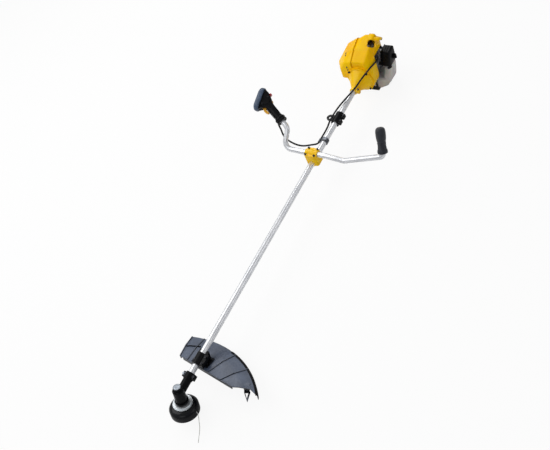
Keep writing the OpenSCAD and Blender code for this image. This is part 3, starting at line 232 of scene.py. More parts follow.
def roughBy(tree, shader, look, source):
    spread = addNode(tree, "MapRange", {"To Min": look["rough"] - look["roughSpan"],
                                        "To Max": look["rough"] + look["roughSpan"]}, {"Value": source})
    tree.links.new(spread.outputs[0], shader.inputs["Roughness"])


def bumpBy(tree, shader, look, source, depth, soft=None):
    bump = addNode(tree, "Bump", {"Strength": look["relief"], "Distance": depth}, {"Height": source})
    if soft:
        tree.links.new(soft.outputs[0], bump.inputs["Normal"])
    tree.links.new(bump.outputs[0], shader.inputs["Normal"])


def mouldedPlastic(name, look):
    material, tree, shader, place = startFinish(name, look)
    base, cloud = mottled(tree, place, look)
    wornAndLit, soft = wornAndLitEdges(tree, base, look)
    if "paintedWallShade" in look:  # painted shade: faces whose normal lies near the horizontal are darkened, as upright walls lit only from above
        facing = addNode(tree, "SeparateXYZ", links={0: addNode(tree, "NewGeometry").outputs["Normal"]})
        level = addNode(tree, "Math", links={0: facing.outputs["Z"]}, operation="ABSOLUTE")
        wallShadeMask = addNode(tree, "MapRange", {"From Min": 0.74, "From Max": 0.5, "To Max": 0.9},
                        {"Value": level.outputs[0]})
        wornAndLit = addNode(tree, "Mix", {7: linear(look["paintedWallShade"])}, {0: wallShadeMask.outputs[0], 6: wornAndLit.outputs[2]},
                       data_type="RGBA")
    tree.links.new(wornAndLit.outputs[2], shader.inputs["Base Color"])
    roughBy(tree, shader, look, cloud.outputs[0])
    grain = addNode(tree, "TexVoronoi", {"Scale": 1000 / look["grain"]}, {"Vector": place})
    bumpBy(tree, shader, look, grain.outputs[0], 0.0004, soft)
    return material


def castMetal(name, look):
    material, tree, shader, place = startFinish(name, look)
    base = mottled(tree, place, look)[0]
    wornAndLit, soft = wornAndLitEdges(tree, base, look)
    tree.links.new(wornAndLit.outputs[2], shader.inputs["Base Color"])
    sand = addNode(tree, "TexNoise", {"Scale": 1000 / look["grain"], "Detail": 6.0, "Roughness": 0.7},
                   {"Vector": place})
    roughBy(tree, shader, look, sand.outputs[0])
    bumpBy(tree, shader, look, sand.outputs[0], 0.0006, soft)
    return material


def turnedMetal(name, look):
    material, tree, shader, place = startFinish(name, look)
    base = mottled(tree, place, look)[0]
    wornAndLit, soft = wornAndLitEdges(tree, base, look)
    tree.links.new(wornAndLit.outputs[2], shader.inputs["Base Color"])
    centre, turn = look.get("centre", (0, 0, 0)), look.get("turn", (0, 0, 0))
    spot = addNode(tree, "Mapping", {"Location": centre, "Rotation": turn}, {"Vector": place},
                   vector_type="TEXTURE")
    if look.get("rings"):
        line = addNode(tree, "TexWave", {"Scale": 0.314 * 1000 / look["pitch"], "Distortion": 0.6,
                                         "Detail": 2.0, "Detail Scale": 4.0}, {"Vector": spot.outputs[0]},
                       wave_type="RINGS", rings_direction="Z")
    else:
        stretch = addNode(tree, "Mapping", {"Scale": (0.02, 1, 1)}, {"Vector": spot.outputs[0]})
        line = addNode(tree, "TexNoise", {"Scale": 1000 / look["pitch"], "Detail": 4.0},
                       {"Vector": stretch.outputs[0]})
    roughBy(tree, shader, look, line.outputs[0])
    bumpBy(tree, shader, look, line.outputs[0], 0.0002, soft)
    return material


def wovenCord(name, look):
    material, tree, shader, place = startFinish(name, look)
    twist = addNode(tree, "TexWave", {"Scale": 0.314 * 1000 / look["pitch"], "Distortion": 0.4},
                    {"Vector": addNode(tree, "Mapping", {"Rotation": (0.6, 0.5, 0.0)},
                                       {"Vector": place}).outputs[0]}, bands_direction="DIAGONAL")
    base = addNode(tree, "Mix", {6: linear(look["colour"]), 7: linear(look["shade"])},
                   {0: twist.outputs[0]}, data_type="RGBA")
    tree.links.new(base.outputs[2], shader.inputs["Base Color"])
    bumpBy(tree, shader, look, twist.outputs[0], 0.0005)
    return material


finishes = {}


def finish(kind, name, nodes, look):
    finishes[name] = kind(name, look)
    for node in nodes:
        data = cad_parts[node].data
        data.materials.clear()
        data.materials.append(finishes[name])


# injection moulded ABS, polished tool: hard bright highlights, orange where it turns from the light
finish(mouldedPlastic, "yellowAbs", ["fan_housing", "engine_cover"],
       {"colour": "#ffce00", "shade": "#f9b800", "edgeWearAndLight": "#ffe23a", "tone": 70, "rough": 0.24, "roughSpan": 0.05,
        "ior": 1.52, "shine": 0.08, "coat": 0.02, "coatRough": 0.08, "grain": 0.9, "relief": 0.04, "edge": 1.8,
        "rub": 0.7})
finish(mouldedPlastic, "yellowNylon", ["trigger", "lockout_lever"],
       {"colour": "#f5b50f", "shade": "#e9a305", "edgeWearAndLight": "#ffd75c", "tone": 12, "rough": 0.32, "roughSpan": 0.06,
        "ior": 1.53, "grain": 0.8, "relief": 0.08, "edge": 0.8})
# gloss enamel on die-cast aluminium: a thin hard skin that rounds over the casting
finish(castMetal, "yellowEnamel", ["clutch_housing", "clamp_base", "clamp_saddle", "clamp_cap"],
       {"colour": "#ffd200", "shade": "#fbc000", "edgeWearAndLight": "#ffe564", "tone": 45, "rough": 0.28, "roughSpan": 0.06,
        "ior": 1.5, "shine": 0.15, "coat": 0.06, "coatRough": 0.12, "grain": 3.0, "relief": 0.06, "edge": 1.4,
        "rub": 0.6})
# drawn and satin anodised aluminium tube: pale, with faint lengthwise drawing lines
finish(turnedMetal, "anodisedTube", ["main_tube", "left_bar", "right_bar"],
       {"colour": "#e6e7ea", "shade": "#d5d7db", "tone": 60, "rough": 0.33, "roughSpan": 0.01,
        "metal": 0.75, "pitch": 14, "relief": 0.01, "edge": 0})
finish(turnedMetal, "springSteelClip", ["cable_clip"],
       {"colour": "#5a5d63", "shade": "#46494f", "edgeWearAndLight": "#c4c7cc", "tone": 20, "rough": 0.3, "roughSpan": 0.08,
        "metal": 1.0, "pitch": 0.8, "relief": 0.2})
finish(turnedMetal, "groundSteel", ["drive_shaft", "crankshaft", "output_shaft", "pinion", "bevel_gear",
                                    "throttle_arm"],
       {"colour": "#b4b6ba", "shade": "#9b9ea3", "edgeWearAndLight": "#dadada", "tone": 15, "rough": 0.26, "roughSpan": 0.08,
        "metal": 1.0, "pitch": 0.7, "relief": 0.25})
# spring steel blade, blued by its hardening
finish(turnedMetal, "bluedBlade", ["line_cutter"],
       {"colour": "#33353b", "shade": "#24262c", "edgeWearAndLight": "#8b8e95", "tone": 9, "rough": 0.3, "roughSpan": 0.08,
        "metal": 0.9, "pitch": 0.7, "relief": 0.15, "edge": 0.4, "rub": 0.6})
# zinc plated pressings and bolts: pale grey, soft sheen
finish(turnedMetal, "satinZinc", [],
       {"colour": "#a4abb3", "shade": "#949ba4", "edgeWearAndLight": "#d4d8dc", "tone": 12, "rough": 0.42, "roughSpan": 0.06,
        "metal": 0.75, "pitch": 0.9, "relief": 0.1})
finish(turnedMetal, "bearingSteel", ["bearings"],
       {"colour": "#c4c7cc", "shade": "#aeb2b8", "edgeWearAndLight": "#e8e8e8", "tone": 10, "rough": 0.16, "roughSpan": 0.05,
        "metal": 1.0, "pitch": 0.6, "relief": 0.15})
finish(turnedMetal, "sinteredSteel", ["clutch_drum", "clutch_shoes"],
       {"colour": "#7d7c7a", "shade": "#5f5e5c", "edgeWearAndLight": "#a5a4a2", "tone": 12, "rough": 0.42, "roughSpan": 0.1,
        "metal": 1.0, "pitch": 0.9, "relief": 0.35})
# black oxide screws: blue-black, rims lighter partly from wear and partly as a painted highlight
finish(turnedMetal, "blackOxide", ["socket_screws"],
       {"colour": "#2c2d31", "shade": "#1d1e21", "edgeWearAndLight": "#75777c", "tone": 6, "rough": 0.34, "roughSpan": 0.08,
        "metal": 0.9, "pitch": 0.7, "relief": 0.2, "edge": 0.5, "rub": 0.7})
# spun and nickel plated discs over the head: bright, with turning rings
headTurn = (0, -tilt, 0)
headCentre = ((mouthX + headAlong) * mm, 0, shaftHigh * mm)
finish(turnedMetal, "platedDisc", ["holder_discs"],
       {"colour": "#e3e7ea", "shade": "#ccd2d6", "tone": 60, "rough": 0.36, "roughSpan": 0.03, "metal": 0.85,
        "rings": True, "pitch": 7, "relief": 0.01, "edge": 0, "centre": headCentre, "turn": headTurn})
finish(castMetal, "dieCastAluminium", ["crankcase", "engine_cylinder", "carburettor", "flywheel"],
       {"colour": "#b1b3b5", "shade": "#95979a", "edgeWearAndLight": "#d8d9da", "tone": 18, "rough": 0.46, "roughSpan": 0.12,
        "metal": 0.9, "grain": 1.4, "relief": 0.35, "edge": 1.0})
finish(castMetal, "blackGearCase", ["gear_case"],
       {"colour": "#050607", "shade": "#0b0c0e", "edgeWearAndLight": "#1e2024", "tone": 14, "rough": 0.34, "roughSpan": 0.1,
        "ior": 1.5, "shine": 0.08, "grain": 2.2, "relief": 0.3, "edge": 1.2, "rub": 0.6})
finish(castMetal, "burntMuffler", ["muffler"],
       {"colour": "#4a4541", "shade": "#2f2b2a", "edgeWearAndLight": "#7c6f66", "tone": 22, "rough": 0.55, "roughSpan": 0.12,
        "metal": 0.6, "grain": 2.0, "relief": 0.25})
finish(castMetal, "powderCoatedStand", ["tank_stand"],
       {"colour": "#08090b", "shade": "#0e0f11", "edgeWearAndLight": "#26282c", "tone": 20, "rough": 0.4, "roughSpan": 0.08,
        "ior": 1.5, "shine": 0.25, "grain": 1.6, "relief": 0.3})
# glass filled nylon: near black, satin, fine spark-eroded grain
finish(mouldedPlastic, "blackNylon", ["choke_lever", "filter_base", "filter_cover", "filter_knob", "fuel_cap",
                                      "starter_housing", "starter_handle", "handle_upper", "handle_lower",
                                      "guard_bracket", "hanger_clamp"],
       {"colour": "#060608", "shade": "#0c0d10", "edgeWearAndLight": "#202329", "tone": 16, "rough": 0.34, "roughSpan": 0.08,
        "ior": 1.53, "shine": 0.1, "grain": 1.1, "relief": 0.22, "edge": 1.3, "rub": 0.6})
# polypropylene guard: blue-grey sheen off its spark-eroded skin; its edges and upright walls are painted darker
# as shade
finish(mouldedPlastic, "guardPolypropylene", ["guard"],
       {"colour": "#4b576d", "shade": "#3b4558", "edgeWearAndLight": "#12141a", "tone": 55, "rough": 0.38, "roughSpan": 0.06,
        "ior": 1.5, "shine": 0.6, "grain": 1.5, "relief": 0.22, "edge": 2.2, "rub": 1.0, "sheen": 0.15,
        "paintedWallShade": "#0e1016"})
finish(mouldedPlastic, "polishedHeadNylon", ["line_head", "head_cover", "bump_knob"],
       {"colour": "#050609", "shade": "#0a0c12", "edgeWearAndLight": "#1c1f28", "tone": 20, "rough": 0.24, "roughSpan": 0.03,
        "ior": 1.53, "shine": 0.12, "coat": 0.12, "coatRough": 0.08, "grain": 1.2, "relief": 0.08, "edge": 1.2})
finish(mouldedPlastic, "spoolNylon", ["line_spool"],
       {"colour": "#55585d", "shade": "#45484d", "tone": 12, "rough": 0.45, "roughSpan": 0.08, "ior": 1.53,
        "grain": 1.0, "relief": 0.15})
finish(mouldedPlastic, "acetal", ["shaft_bushings", "starter_pulley"],
       {"colour": "#e9e5d6", "shade": "#dcd7c6", "tone": 14, "rough": 0.34, "roughSpan": 0.05, "ior": 1.48,
        "grain": 1.0, "relief": 0.1, "deep": 0.15, "deepScale": 0.004})
finish(mouldedPlastic, "redSwitch", ["stop_switch"],
       {"colour": "#c5161d", "shade": "#a90f16", "edgeWearAndLight": "#e8474c", "tone": 6, "rough": 0.25, "roughSpan": 0.05,
        "ior": 1.53, "grain": 0.7, "relief": 0.08, "edge": 0.8})
finish(mouldedPlastic, "glazedCeramic", ["spark_plug"],
       {"colour": "#f1efe9", "shade": "#e6e3da", "tone": 10, "rough": 0.12, "roughSpan": 0.04, "ior": 1.6,
        "grain": 1.5, "relief": 0.04})
# vulcanised rubber: dull, soft highlights
finish(mouldedPlastic, "bootRubber", ["plug_boot"],
       {"colour": "#0b0b0d", "shade": "#131316", "edgeWearAndLight": "#232428", "tone": 9, "rough": 0.45, "roughSpan": 0.08,
        "ior": 1.52, "shine": 0.3, "grain": 0.9, "relief": 0.2, "edge": 1.2})
finish(mouldedPlastic, "primerRubber", ["primer_bulb"],
       {"colour": "#8f1b12", "shade": "#74130c", "edgeWearAndLight": "#b8463a", "tone": 6, "rough": 0.22, "roughSpan": 0.05,
        "ior": 1.45, "grain": 0.8, "relief": 0.05, "clear": 0.25, "deep": 0.2, "deepScale": 0.003})
finish(mouldedPlastic, "fuelHose", ["fuel_hoses"],
       {"colour": "#8a8d45", "shade": "#727538", "edgeWearAndLight": "#a3a660", "tone": 7, "rough": 0.3, "roughSpan": 0.06,
        "ior": 1.45, "grain": 0.8, "relief": 0.08, "clear": 0.2})
finish(castMetal, "filterFoam", ["filter_element"],
       {"colour": "#3b3b3d", "shade": "#1f1f21", "tone": 3, "rough": 0.9, "roughSpan": 0.05, "grain": 1.5,
        "relief": 0.9, "sheen": 0.2})
finish(wovenCord, "braidedStarterRope", ["starter_rope"],
       {"colour": "#e4e1d6", "shade": "#b9b5a8", "rough": 0.8, "pitch": 2.4, "relief": 0.6, "sheen": 0.3})
finish(mouldedPlastic, "cableSheath", ["throttle_cable"],
       {"colour": "#070809", "shade": "#0e0f12", "edgeWearAndLight": "#0e0f12", "tone": 10, "rough": 0.32, "roughSpan": 0.06,
        "ior": 1.5, "shine": 0.25, "grain": 1.0, "relief": 0.06, "edge": 0.3, "rub": 0.0})
finish(mouldedPlastic, "drawnNylonLine", ["cutting_line"],
       {"colour": "#dedfd8", "shade": "#cfd0c8", "edgeWearAndLight": "#dedfd8", "tone": 8, "rough": 0.25, "roughSpan": 0.05,
        "ior": 1.53, "grain": 1.0, "relief": 0.05, "edge": 0.3, "rub": 0.0, "clear": 0.15})
finish(mouldedPlastic, "gripRubber", ["left_grip"],
       {"colour": "#1e2027", "shade": "#272a33", "edgeWearAndLight": "#343843", "tone": 22, "rough": 0.46, "roughSpan": 0.08,
        "ior": 1.52, "shine": 0.3, "grain": 2.6, "relief": 0.45, "edge": 1.0, "rub": 0.4, "sheen": 0.15})
finish(mouldedPlastic, "palmRubber", [],
       {"colour": "#44556d", "shade": "#3a495e", "edgeWearAndLight": "#64768e", "tone": 22, "rough": 0.4, "roughSpan": 0.06,
        "ior": 1.52, "shine": 0.4, "grain": 2.0, "relief": 0.25, "edge": 1.2, "rub": 0.4})


def blownTank(name, look):
    material, tree, shader, place = startFinish(name, look)
    base = mottled(tree, place, look)[0]
    height = addNode(tree, "SeparateXYZ", links={0: place})
    ripple = addNode(tree, "TexNoise", {"Scale": 12.0}, {"Vector": place})
    level = addNode(tree, "Math", {1: 0.004}, {0: ripple.outputs[0]}, operation="MULTIPLY")
    fuel = addNode(tree, "MapRange", {"From Min": look["lowerToneTop"] + 0.003, "From Max": look["lowerToneTop"] - 0.003,
                                      "To Max": look["lowerToneShare"]},
                   {"Value": addNode(tree, "Math", links={0: height.outputs["Z"], 1: level.outputs[0]},
                                     operation="SUBTRACT").outputs[0]})
    toned = addNode(tree, "Mix", {7: linear(look["fuel"])}, {0: fuel.outputs[0], 6: base.outputs[2]},
                     data_type="RGBA")
    wornAndLit, soft = wornAndLitEdges(tree, toned, look)
    tree.links.new(wornAndLit.outputs[2], shader.inputs["Base Color"])
    grain = addNode(tree, "TexNoise", {"Scale": 1000 / look["grain"], "Detail": 4.0}, {"Vector": place})
    bumpBy(tree, shader, look, grain.outputs[0], 0.0004, soft)
    return material


# blow moulded natural polyethylene: milky, light carries through the wall; the colour is darker below a wavy
# line across the lower part
finish(blownTank, "milkyPolyethylene", ["fuel_tank"],
       {"colour": "#dad6d2", "shade": "#cbc6c2", "edgeWearAndLight": "#ece9e6", "fuel": "#bdb4ae", "lowerToneTop": 0.045,
        "lowerToneShare": 0.35, "tone": 40, "rough": 0.34, "ior": 1.54, "clear": 0.12, "deep": 0.25,
        "deepScale": 0.008, "grain": 3.0, "relief": 0.12, "edge": 2.0})
print("finishes made:", len(finishes))


def addPiece(name, bm, finishName, body, replaced=(), smooth=35):
    mesh = bpy.data.meshes.new(name)
    bm.to_mesh(mesh)
    bm.free()
    mesh.materials.append(finishes[finishName])
    for face in mesh.polygons:
        face.use_smooth = True
    mesh.set_sharp_from_angle(angle=math.radians(smooth))
    made = bpy.data.objects.new(name, mesh)
    scene.collection.objects.link(made)
    if body:  # a piece given no body is left unattached
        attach(made, body)
    if replaced:
        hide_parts(*replaced)
    return made


def spun(profile, steps, place):
    bm = bmesh.new()
    corners = [bm.verts.new((r * mm, 0, z * mm)) for r, z in profile]
    for a, b in zip(corners, corners[1:]):
        bm.edges.new((a, b))
    bmesh.ops.spin(bm, geom=bm.verts[:] + bm.edges[:], axis=(0, 0, 1), cent=(0, 0, 0), dvec=(0, 0, 0),
                   angle=math.tau, steps=steps, use_merge=True, use_duplicate=False)
    bmesh.ops.remove_doubles(bm, verts=bm.verts, dist=0.00002)
    bmesh.ops.recalc_face_normals(bm, faces=bm.faces)
    bmesh.ops.transform(bm, matrix=place, verts=bm.verts)
    return bm


def takeIn(bm, one):
    mesh = bpy.data.meshes.new("takenIn")
    one.to_mesh(mesh)
    one.free()
    bm.from_mesh(mesh)
    bpy.data.meshes.remove(mesh)


def routed(points, steps):
    last = len(points) - 1
    made = []
    for i in range(last):
        a, b, c, d = (Vector(points[max(min(k, last), 0)]) for k in (i - 1, i, i + 1, i + 2))
        for k in range(steps):
            t = k / steps
            made.append(0.5 * (2 * b + (c - a) * t + (2 * a - 5 * b + 4 * c - d) * t * t
                               + (3 * b - a - 3 * c + d) * t ** 3))
    made.append(Vector(points[last]))
    return [(shaftPlace @ (p * mm)) for p in made]


def addCord(name, points, radius, finishName, body, replaced):
    data = bpy.data.curves.new(name, "CURVE")
    data.dimensions = "3D"
    data.bevel_depth, data.bevel_resolution, data.use_fill_caps = radius, 5, True
    line = data.splines.new("POLY")
    line.points.add(len(points) - 1)
    for spot, p in zip(line.points, points):
        spot.co = (*p, 1)
    line.use_smooth = True
    data.materials.append(finishes[finishName])
    made = bpy.data.objects.new(name, data)
    scene.collection.objects.link(made)
    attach(made, body)
    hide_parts(replaced)
    return made


def handleSpot(x, y, z):
    return [v / mm for v in (shaftPlace.inverted() @ (handlePlace @ (Vector((x, y, z)) * mm)))]


cable = {"diameter": 7.6 * mm, "boot": 22,
         "route": [(-162, 63, 67), (-156, 66, 68), (-146, 70, 69), (-134, 72, 71), (-120, 72, 73),
                   (-104, 69, 73), (-88, 63, 71), (-70, 52, 62), (-40, 34, 45), (0, 19, 30), (34, 6, 23),
                   (68, -5, 20), (100, -12, 19), (125, -17, 17), (160, -19, 17), (192, -20, 14),
                   (212, -22, 4), (236, -25, -3), (258, -26, -4), (276, -26, -4), (298, -26, -4),
                   (307, -36, -6), (311, -60, -12), (313, -84, -20), (315, -106, -24), (317, -128, -21),
                   (318, -148, -12), (317, -166, -2), (315, -180, 12), (311, -188, 30), (307, -190, 54),
                   (306, -192, 80), handleSpot(8, -34, 12), handleSpot(8, -24, 14), handleSpot(8, -13, 14)]}


def makeCable():
    points = routed(cable["route"], 2)
    made = addCord("throttleCable", points, cable["diameter"] / 2, "cableSheath", "frame",
                   "throttle_cable")
    end = handlePlace @ (Vector((8, -15, 14)) * mm)
    boot = spun([(3.85, 0), (6.2, 0), (6.2, 3), (5.2, 4.4), (5.9, 6), (5.0, 7.6), (5.6, 9.2), (4.8, 11),
                 (4.6, 16), (4.1, cable["boot"]), (3.85, cable["boot"]), (3.85, 0)], 24,
                axes(end / mm, (handlePlace.to_3x3() @ Vector((0, -1, -0.06))), (1, 0, 0)))
    addPiece("cableBoot", boot, "bootRubber", "frame")
    start, after = points[0], points[2]
    barrel = spun([(3.85, 0), (5.0, 0), (5.4, 0.6), (5.4, 3.6), (4.7, 4.0), (4.7, 8.4), (5.1, 8.8), (5.1, 12),
                   (4.4, 13), (3.85, 13), (3.85, 0)], 24, axes(start / mm, after - start, (0, 0, 1)))
    addPiece("cableAdjuster", barrel, "springSteelClip", "frame")


nylon = {"diameter": 2.4 * mm,
         "route": [(1493, 47, -69.2), (1492.6, 56, -69), (1497, 64, -69), (1506.1, 71.6, -72),
                   (1519.6, 78.2, -81), (1530.2, 81.8, -91.5), (1542.8, 85.1, -99.5),
                   (1557.6, 90.5, -102.6), (1568, 95.7, -103.1), (1579, 100.3, -103.2)]}


def makeLine():
    points = routed(nylon["route"], 4)
    made = addCord("cuttingLine", points, nylon["diameter"] / 2, "drawnNylonLine", "output",
                   "cutting_line")


makeCable()
makeLine()
print("cords laid")

# moulded grip: a palm swell at the top, a waist with finger rings and a flared thumb stop
grip = {"length": 102, "bore": 11.2, "endWall": 3.6, "waist": 15.3, "waistRise": 0.35,
        "ringPitch": 4.2, "ringHeight": 0.9, "rings": 6, "ringFrom": 20,
        "swell": [(11.2, 0), (17.4, 0), (19.4, 1.6), (20.2, 4.2), (20.0, 8), (19.0, 13), (17.2, 18)],
        "top": [(16.0, 46), (17.2, 50), (18.3, 56), (19.0, 62), (19.4, 70), (19.5, 80), (19.2, 87),
                (18.2, 93), (16.2, 97.5), (13.0, 100.4), (8.5, 101.7), (0, 102)]}


def makeGrip():
    rings = []
    for i in range(grip["rings"]):
        z = grip["ringFrom"] + i * grip["ringPitch"]
        waist = grip["waist"] + grip["waistRise"] * abs(i - (grip["rings"] - 1) / 2)
        rings += [(waist, z), (waist + grip["ringHeight"] * 0.8, z + 0.5),
                  (waist + grip["ringHeight"], z + 1.2), (waist + grip["ringHeight"] * 0.8, z + 1.9),
                  (waist, z + 2.4)]
    deep = grip["length"] - grip["endWall"]
    closed = [(0, deep), (grip["bore"], deep), (grip["bore"], 0)]
    bm = spun(grip["swell"] + rings + grip["top"] + closed, 48, gripPlace)
    addPiece("leftGripSleeve", bm, "gripRubber", "frame", ["left_grip"], 50)


def ovalLoops(layers, steps, place):
    bm = bmesh.new()
    loops = []
    for half, side, z in layers:
        reach = half - side
        ring = []
        for i in range(steps):
            angle = math.tau * (i + 0.5) / steps
            x = side * math.cos(angle) + (reach if math.cos(angle) > 0 else -reach)
            ring.append(bm.verts.new((x * mm, side * math.sin(angle) * mm, z * mm)))
        edges = [bm.edges.new((a, b)) for a, b in zip(ring, ring[1:] + ring[:1])]
        if loops:
            bmesh.ops.bridge_loops(bm, edges=loops[-1] + edges)
        loops.append(edges)
    for edges in (loops[0], loops[-1]):
        bmesh.ops.contextual_create(bm, geom=edges)
    bmesh.ops.recalc_face_normals(bm, faces=bm.faces)
    bmesh.ops.transform(bm, matrix=place, verts=bm.verts)
    return bm


# soft pad over the palm end of the throttle handle
palm = {"at": (8, 0, 126), "lean": 32,
        "layers": [(50.6, 24.6, -3.4), (51.7, 25.7, -2.0), (52.0, 26.0, 2.0), (51.8, 25.8, 8.0),
                   (50.8, 25.0, 12.0), (48.6, 23.0, 15.6), (44.5, 19.5, 18.2), (40.8, 16.0, 20.2),
                   (31.0, 10.5, 21.2), (22.0, 5.0, 21.6)]}


def makePalmPad():
    place = handlePlace @ Matrix.Translation(Vector(palm["at"]) * mm) @ Matrix.Rotation(
        math.radians(palm["lean"]), 4, "Y")
    bm = ovalLoops(palm["layers"], 56, place)
    addPiece("palmPad", bm, "palmRubber", "frame", smooth=50)


# clamp collar that pinches the handle's lower end on the bar
collar = {"profile": [(14.6, -10.3), (21.4, -10.3), (22.8, -8.8), (22.8, -3.6), (21.2, -2.6), (21.2, 2.4),
                      (22.8, 3.4), (22.8, 8.6), (21.4, 10.6), (18.6, 12.4), (14.6, 12.4), (14.6, -10.3)]}


def makeCollar():
    addPiece("handleCollar", spun(collar["profile"], 40, handlePlace), "blackNylon", "frame")


makeGrip()
makePalmPad()
makeCollar()
print("grips made")

# pressed hub cap on top of the gear case, and the pale bolt that pinches the case on the tube
gearCap = {"rim": 13.2, "from": 36.0, "crown": 1.6}
pinchBolt = {"at": (mouthX + 1402, -21.5, shaftHigh + 7), "across": 8, "height": 5.3, "rounding": 0.7,
             "washer": 5.6, "washerBore": 2.7, "washerTop": 1.2}


def makeGearTrim():
    r, z = gearCap["rim"], gearCap["from"]
    bm = spun([(0, z), (r, z), (r, z + 0.6), (r - 0.5, z + 1.1), (r - 2.2, z + 1.3), (r - 2.8, z + 1.0),
               (r - 3.4, z + 1.3), (r / 2, z + gearCap["crown"]), (0, z + gearCap["crown"] + 0.1)], 48,
              headPlace)
    addPiece("gearHubCap", bm, "satinZinc", "frame")
    place = axes(pinchBolt["at"], (0, 0, 1), (1, 0, 0))
    bm = bmesh.new()
    corner, washerTop = pinchBolt["across"] / math.sqrt(3) * mm, pinchBolt["washerTop"]
    bmesh.ops.create_cone(bm, cap_ends=True, segments=6, radius1=corner, radius2=corner,
                          depth=pinchBolt["height"] * mm)
    bmesh.ops.translate(bm, verts=bm.verts, vec=(0, 0, (pinchBolt["height"] / 2 + washerTop) * mm))
    rim = [e for e in bm.edges if all(v.co.z > (pinchBolt["height"] + 1) * mm for v in e.verts)]
    bmesh.ops.bevel(bm, geom=rim, offset=pinchBolt["rounding"] * mm, segments=2, profile=0.5,
                    affect="EDGES", material=-1)
    bmesh.ops.transform(bm, matrix=place, verts=bm.verts)
    addPiece("pinchBoltHead", bm, "satinZinc", "frame")
    w, bore = pinchBolt["washer"], pinchBolt["washerBore"]
    bm = spun([(bore, 0.1), (w, 0.1), (w, 0.9), (w - 0.3, washerTop), (bore, washerTop), (bore, 0.1)], 32,
              place)
    addPiece("pinchBoltWasher", bm, "satinZinc", "frame")


# steel ferrules where the line leaves the head
ferrule = {"angles": (93, 273), "out": 54, "z": -73}


def makeFerrules():
    bm = bmesh.new()
    for angle in ferrule["angles"]:
        place = headPlace @ Matrix.Rotation(math.radians(angle), 4, "Z") @ Matrix.Translation(
            Vector((ferrule["out"], 0, ferrule["z"])) * mm) @ Matrix.Rotation(math.radians(90), 4, "Y")
        one = spun([(1.75, -2.4), (2.6, -2.4), (2.6, 0.1), (4.7, 0.1), (4.7, 0.8), (3.4, 1.6), (2.3, 1.6),
                    (1.75, 0.9), (1.75, -2.4)], 28, place)
        takeIn(bm, one)
    addPiece("lineFerrules", bm, "bluedBlade", "output")


makeGearTrim()
makeFerrules()


# a raised band that follows a moulding's own outside, such as its parting seam
def hugBand(name, node, at, way, width, proud, centre, finishName):
    bm = bmesh.new()
    bm.from_mesh(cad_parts[node].data)
    bmesh.ops.remove_doubles(bm, verts=bm.verts, dist=0.00005)
    way = Vector(way).normalized()
    for sign in (1, -1):
        bmesh.ops.bisect_plane(bm, geom=bm.verts[:] + bm.edges[:] + bm.faces[:], clear_outer=True,
                               plane_co=Vector(at) * mm + way * sign * width / 2 * mm, plane_no=way * sign)
    middle = Vector(centre) * mm
    inner = [f for f in bm.faces if (f.calc_center_median() - middle).dot(f.normal) < 0.002
             or abs(f.normal.dot(way)) > 0.9]
    bmesh.ops.delete(bm, geom=inner, context="FACES")
    bmesh.ops.solidify(bm, geom=bm.faces[:], thickness=-proud * mm)
    bmesh.ops.recalc_face_normals(bm, faces=bm.faces)
    addPiece(name, bm, finishName, "frame")


tank = {"centre": (-5, 0, 50), "seamAt": (-6, 0, 50), "seamWide": 2.6, "seamProud": 0.9,
        "grommetAt": (13.3, 94.5, 111.6), "grommetOut": (0.594, 0.397, 0.70),
        "grommetAlong": (-0.795, 0.612, 0),
        "grommet": [(10.4, 5.2, -3.0), (10.8, 5.6, 1.0), (10.8, 5.6, 1.8), (10.2, 5.0, 2.5), (7.4, 2.6, 2.6)]}


def makeTankTrim():
    hugBand("tankSeam", "fuel_tank", tank["seamAt"], (1, 0, 0), tank["seamWide"], tank["seamProud"],
            tank["centre"], "milkyPolyethylene")
    place = axes(tank["grommetAt"], tank["grommetOut"], tank["grommetAlong"])
    addPiece("tankGrommet", ovalLoops(tank["grommet"], 28, place), "bootRubber", "frame", smooth=50)


makeTankTrim()

# starter rope: a straight round cord from the foot to the top of the starter_rope node's box
rope = {"rings": 24, "sides": 16}


def makeRope():
    low, high = (Vector(corner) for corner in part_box("starter_rope"))
    radius = (high.x - low.x) / 2
    foot = Vector(((low.x + high.x) / 2, (low.y + high.y) / 2, low.z))
    top = Vector((foot.x, foot.y, high.z))
    bm = bmesh.new()
    bmesh.ops.create_circle(bm, cap_ends=True, radius=radius, segments=rope["sides"])
    bmesh.ops.translate(bm, verts=bm.verts, vec=foot)
    step = (top - foot) / rope["rings"]
    for _ in range(rope["rings"]):
        end = max(bm.faces, key=lambda face: face.calc_center_median().z)
        grown = bmesh.ops.extrude_face_region(bm, geom=[end])
        bmesh.ops.translate(bm, vec=step,
                            verts=[v for v in grown["geom"] if isinstance(v, bmesh.types.BMVert)])
        bmesh.ops.delete(bm, geom=[end], context="FACES_ONLY")
    bmesh.ops.recalc_face_normals(bm, faces=bm.faces)
    made = addPiece("drawnRope", bm, "braidedStarterRope", None, ["starter_rope"], smooth=50)
    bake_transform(made)


makeRope()

# stiffening rib across the guard's left end, made black as painted shade along the rib
guardRib = {"run": [(1494.8, -102.9, 88.3), (1488, -90.7, 86.0), (1482.9, -75.9, 83.8), (1478.1, -61.2, 81.4),
                    (1474.9, -49.8, 79.7)], "up": (-0.42, 0, 0.9), "sunk": 2.0, "height": 5.4, "width": 3.2}


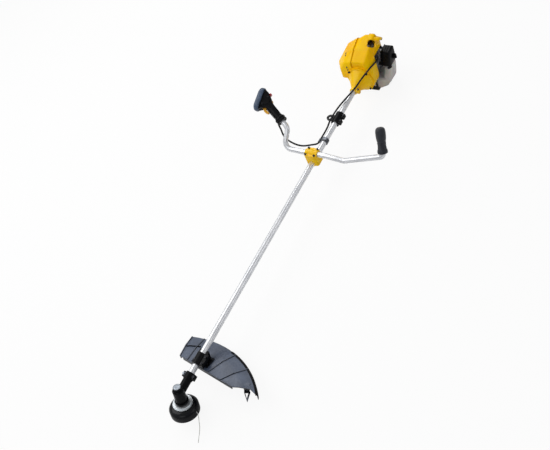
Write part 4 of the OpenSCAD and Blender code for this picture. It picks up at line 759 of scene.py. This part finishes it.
def makeGuardRib():
    bm = bmesh.new()
    up = Vector(guardRib["up"]) * mm
    run = [bm.verts.new(Vector(at) * mm - up * guardRib["sunk"]) for at in guardRib["run"]]
    spine = [bm.edges.new((a, b)) for a, b in zip(run, run[1:])]
    grown = bmesh.ops.extrude_edge_only(bm, edges=spine)
    bmesh.ops.translate(bm, vec=up * guardRib["height"],
                        verts=[v for v in grown["geom"] if isinstance(v, bmesh.types.BMVert)])
    bmesh.ops.recalc_face_normals(bm, faces=bm.faces)
    bmesh.ops.solidify(bm, geom=bm.faces[:], thickness=guardRib["width"] * mm)
    bmesh.ops.recalc_face_normals(bm, faces=bm.faces)
    bmesh.ops.bevel(bm, geom=bm.edges[:], offset=0.0006, segments=2, affect="EDGES", profile=0.5, material=-1)
    addPiece("guardCrossRib", bm, "blackNylon", "frame")


makeGuardRib()

# black band over the guard's outer rim, painted shade for its shadowed skirt, in the head's frame
rimShade = {"centre": (126.5, -26), "radius": 373, "from": 14, "to": 50.6, "steps": 48,
          "profile": [(-8.5, 10.6), (-8.2, 12.4), (-1.8, 11.2), (1.2, 8.6), (1.4, -6.0), (0.2, -7.4),
                      (-0.6, -6.0), (-0.6, 7.6), (-2.4, 9.4)]}


def makeRimShade():
    bm = bmesh.new()
    start, end = math.radians(180 - rimShade["to"]), math.radians(180 - rimShade["from"])
    centre = Vector((*rimShade["centre"], 0)) * mm
    outward = Vector((math.cos(start), math.sin(start), 0))
    face = bm.faces.new([bm.verts.new(centre + outward * (rimShade["radius"] + r) * mm + Vector((0, 0, z)) * mm)
                         for r, z in rimShade["profile"]])
    bmesh.ops.spin(bm, geom=[face] + face.edges[:] + face.verts[:], axis=(0, 0, 1), cent=centre, dvec=(0, 0, 0),
                   angle=end - start, steps=rimShade["steps"], use_merge=False, use_duplicate=False)
    bmesh.ops.recalc_face_normals(bm, faces=bm.faces)
    bmesh.ops.transform(bm, matrix=headPlace, verts=bm.verts)
    addPiece("guardRimShade", bm, "blackNylon", "frame")


makeRimShade()

# dark ovals on the fan housing, painted shade standing in for the dark inside its air slots, in two groups
ventShade = {"slot": [(5.0, 2.8, -1.5), (5.4, 3.2, 0.1), (5.0, 2.8, 0.6), (3.6, 1.4, 0.6)],
         "groups": [((0.214, -0.525, 0.824), (0.94, 0.33, -0.03), [(64.4, -70.3, 220.3), (76.6, -66.1, 219.8)]),
                    ((1, 0, 0), (0, 0.12, 1), [(112, -53.5, 184), (112, -51.7, 169.5), (112, -47, 151)])]}


def makeVentShade():
    bm = bmesh.new()
    for out, along, spots in ventShade["groups"]:
        for spot in spots:
            takeIn(bm, ovalLoops(ventShade["slot"], 16, axes(spot, out, along)))
    addPiece("housingVentShade", bm, "bootRubber", "frame", smooth=50)


makeVentShade()
print("trim made")

# CAD meshes: weld, smooth, and split the edges sharper than splitAt
splitAt = math.radians(32)
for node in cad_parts.values():
    for face in node.data.polygons:
        face.use_smooth = True
    weld = node.modifiers.new("weld", "WELD")
    weld.merge_threshold = 0.00001
    split = node.modifiers.new("split", "EDGE_SPLIT")
    split.split_angle = splitAt
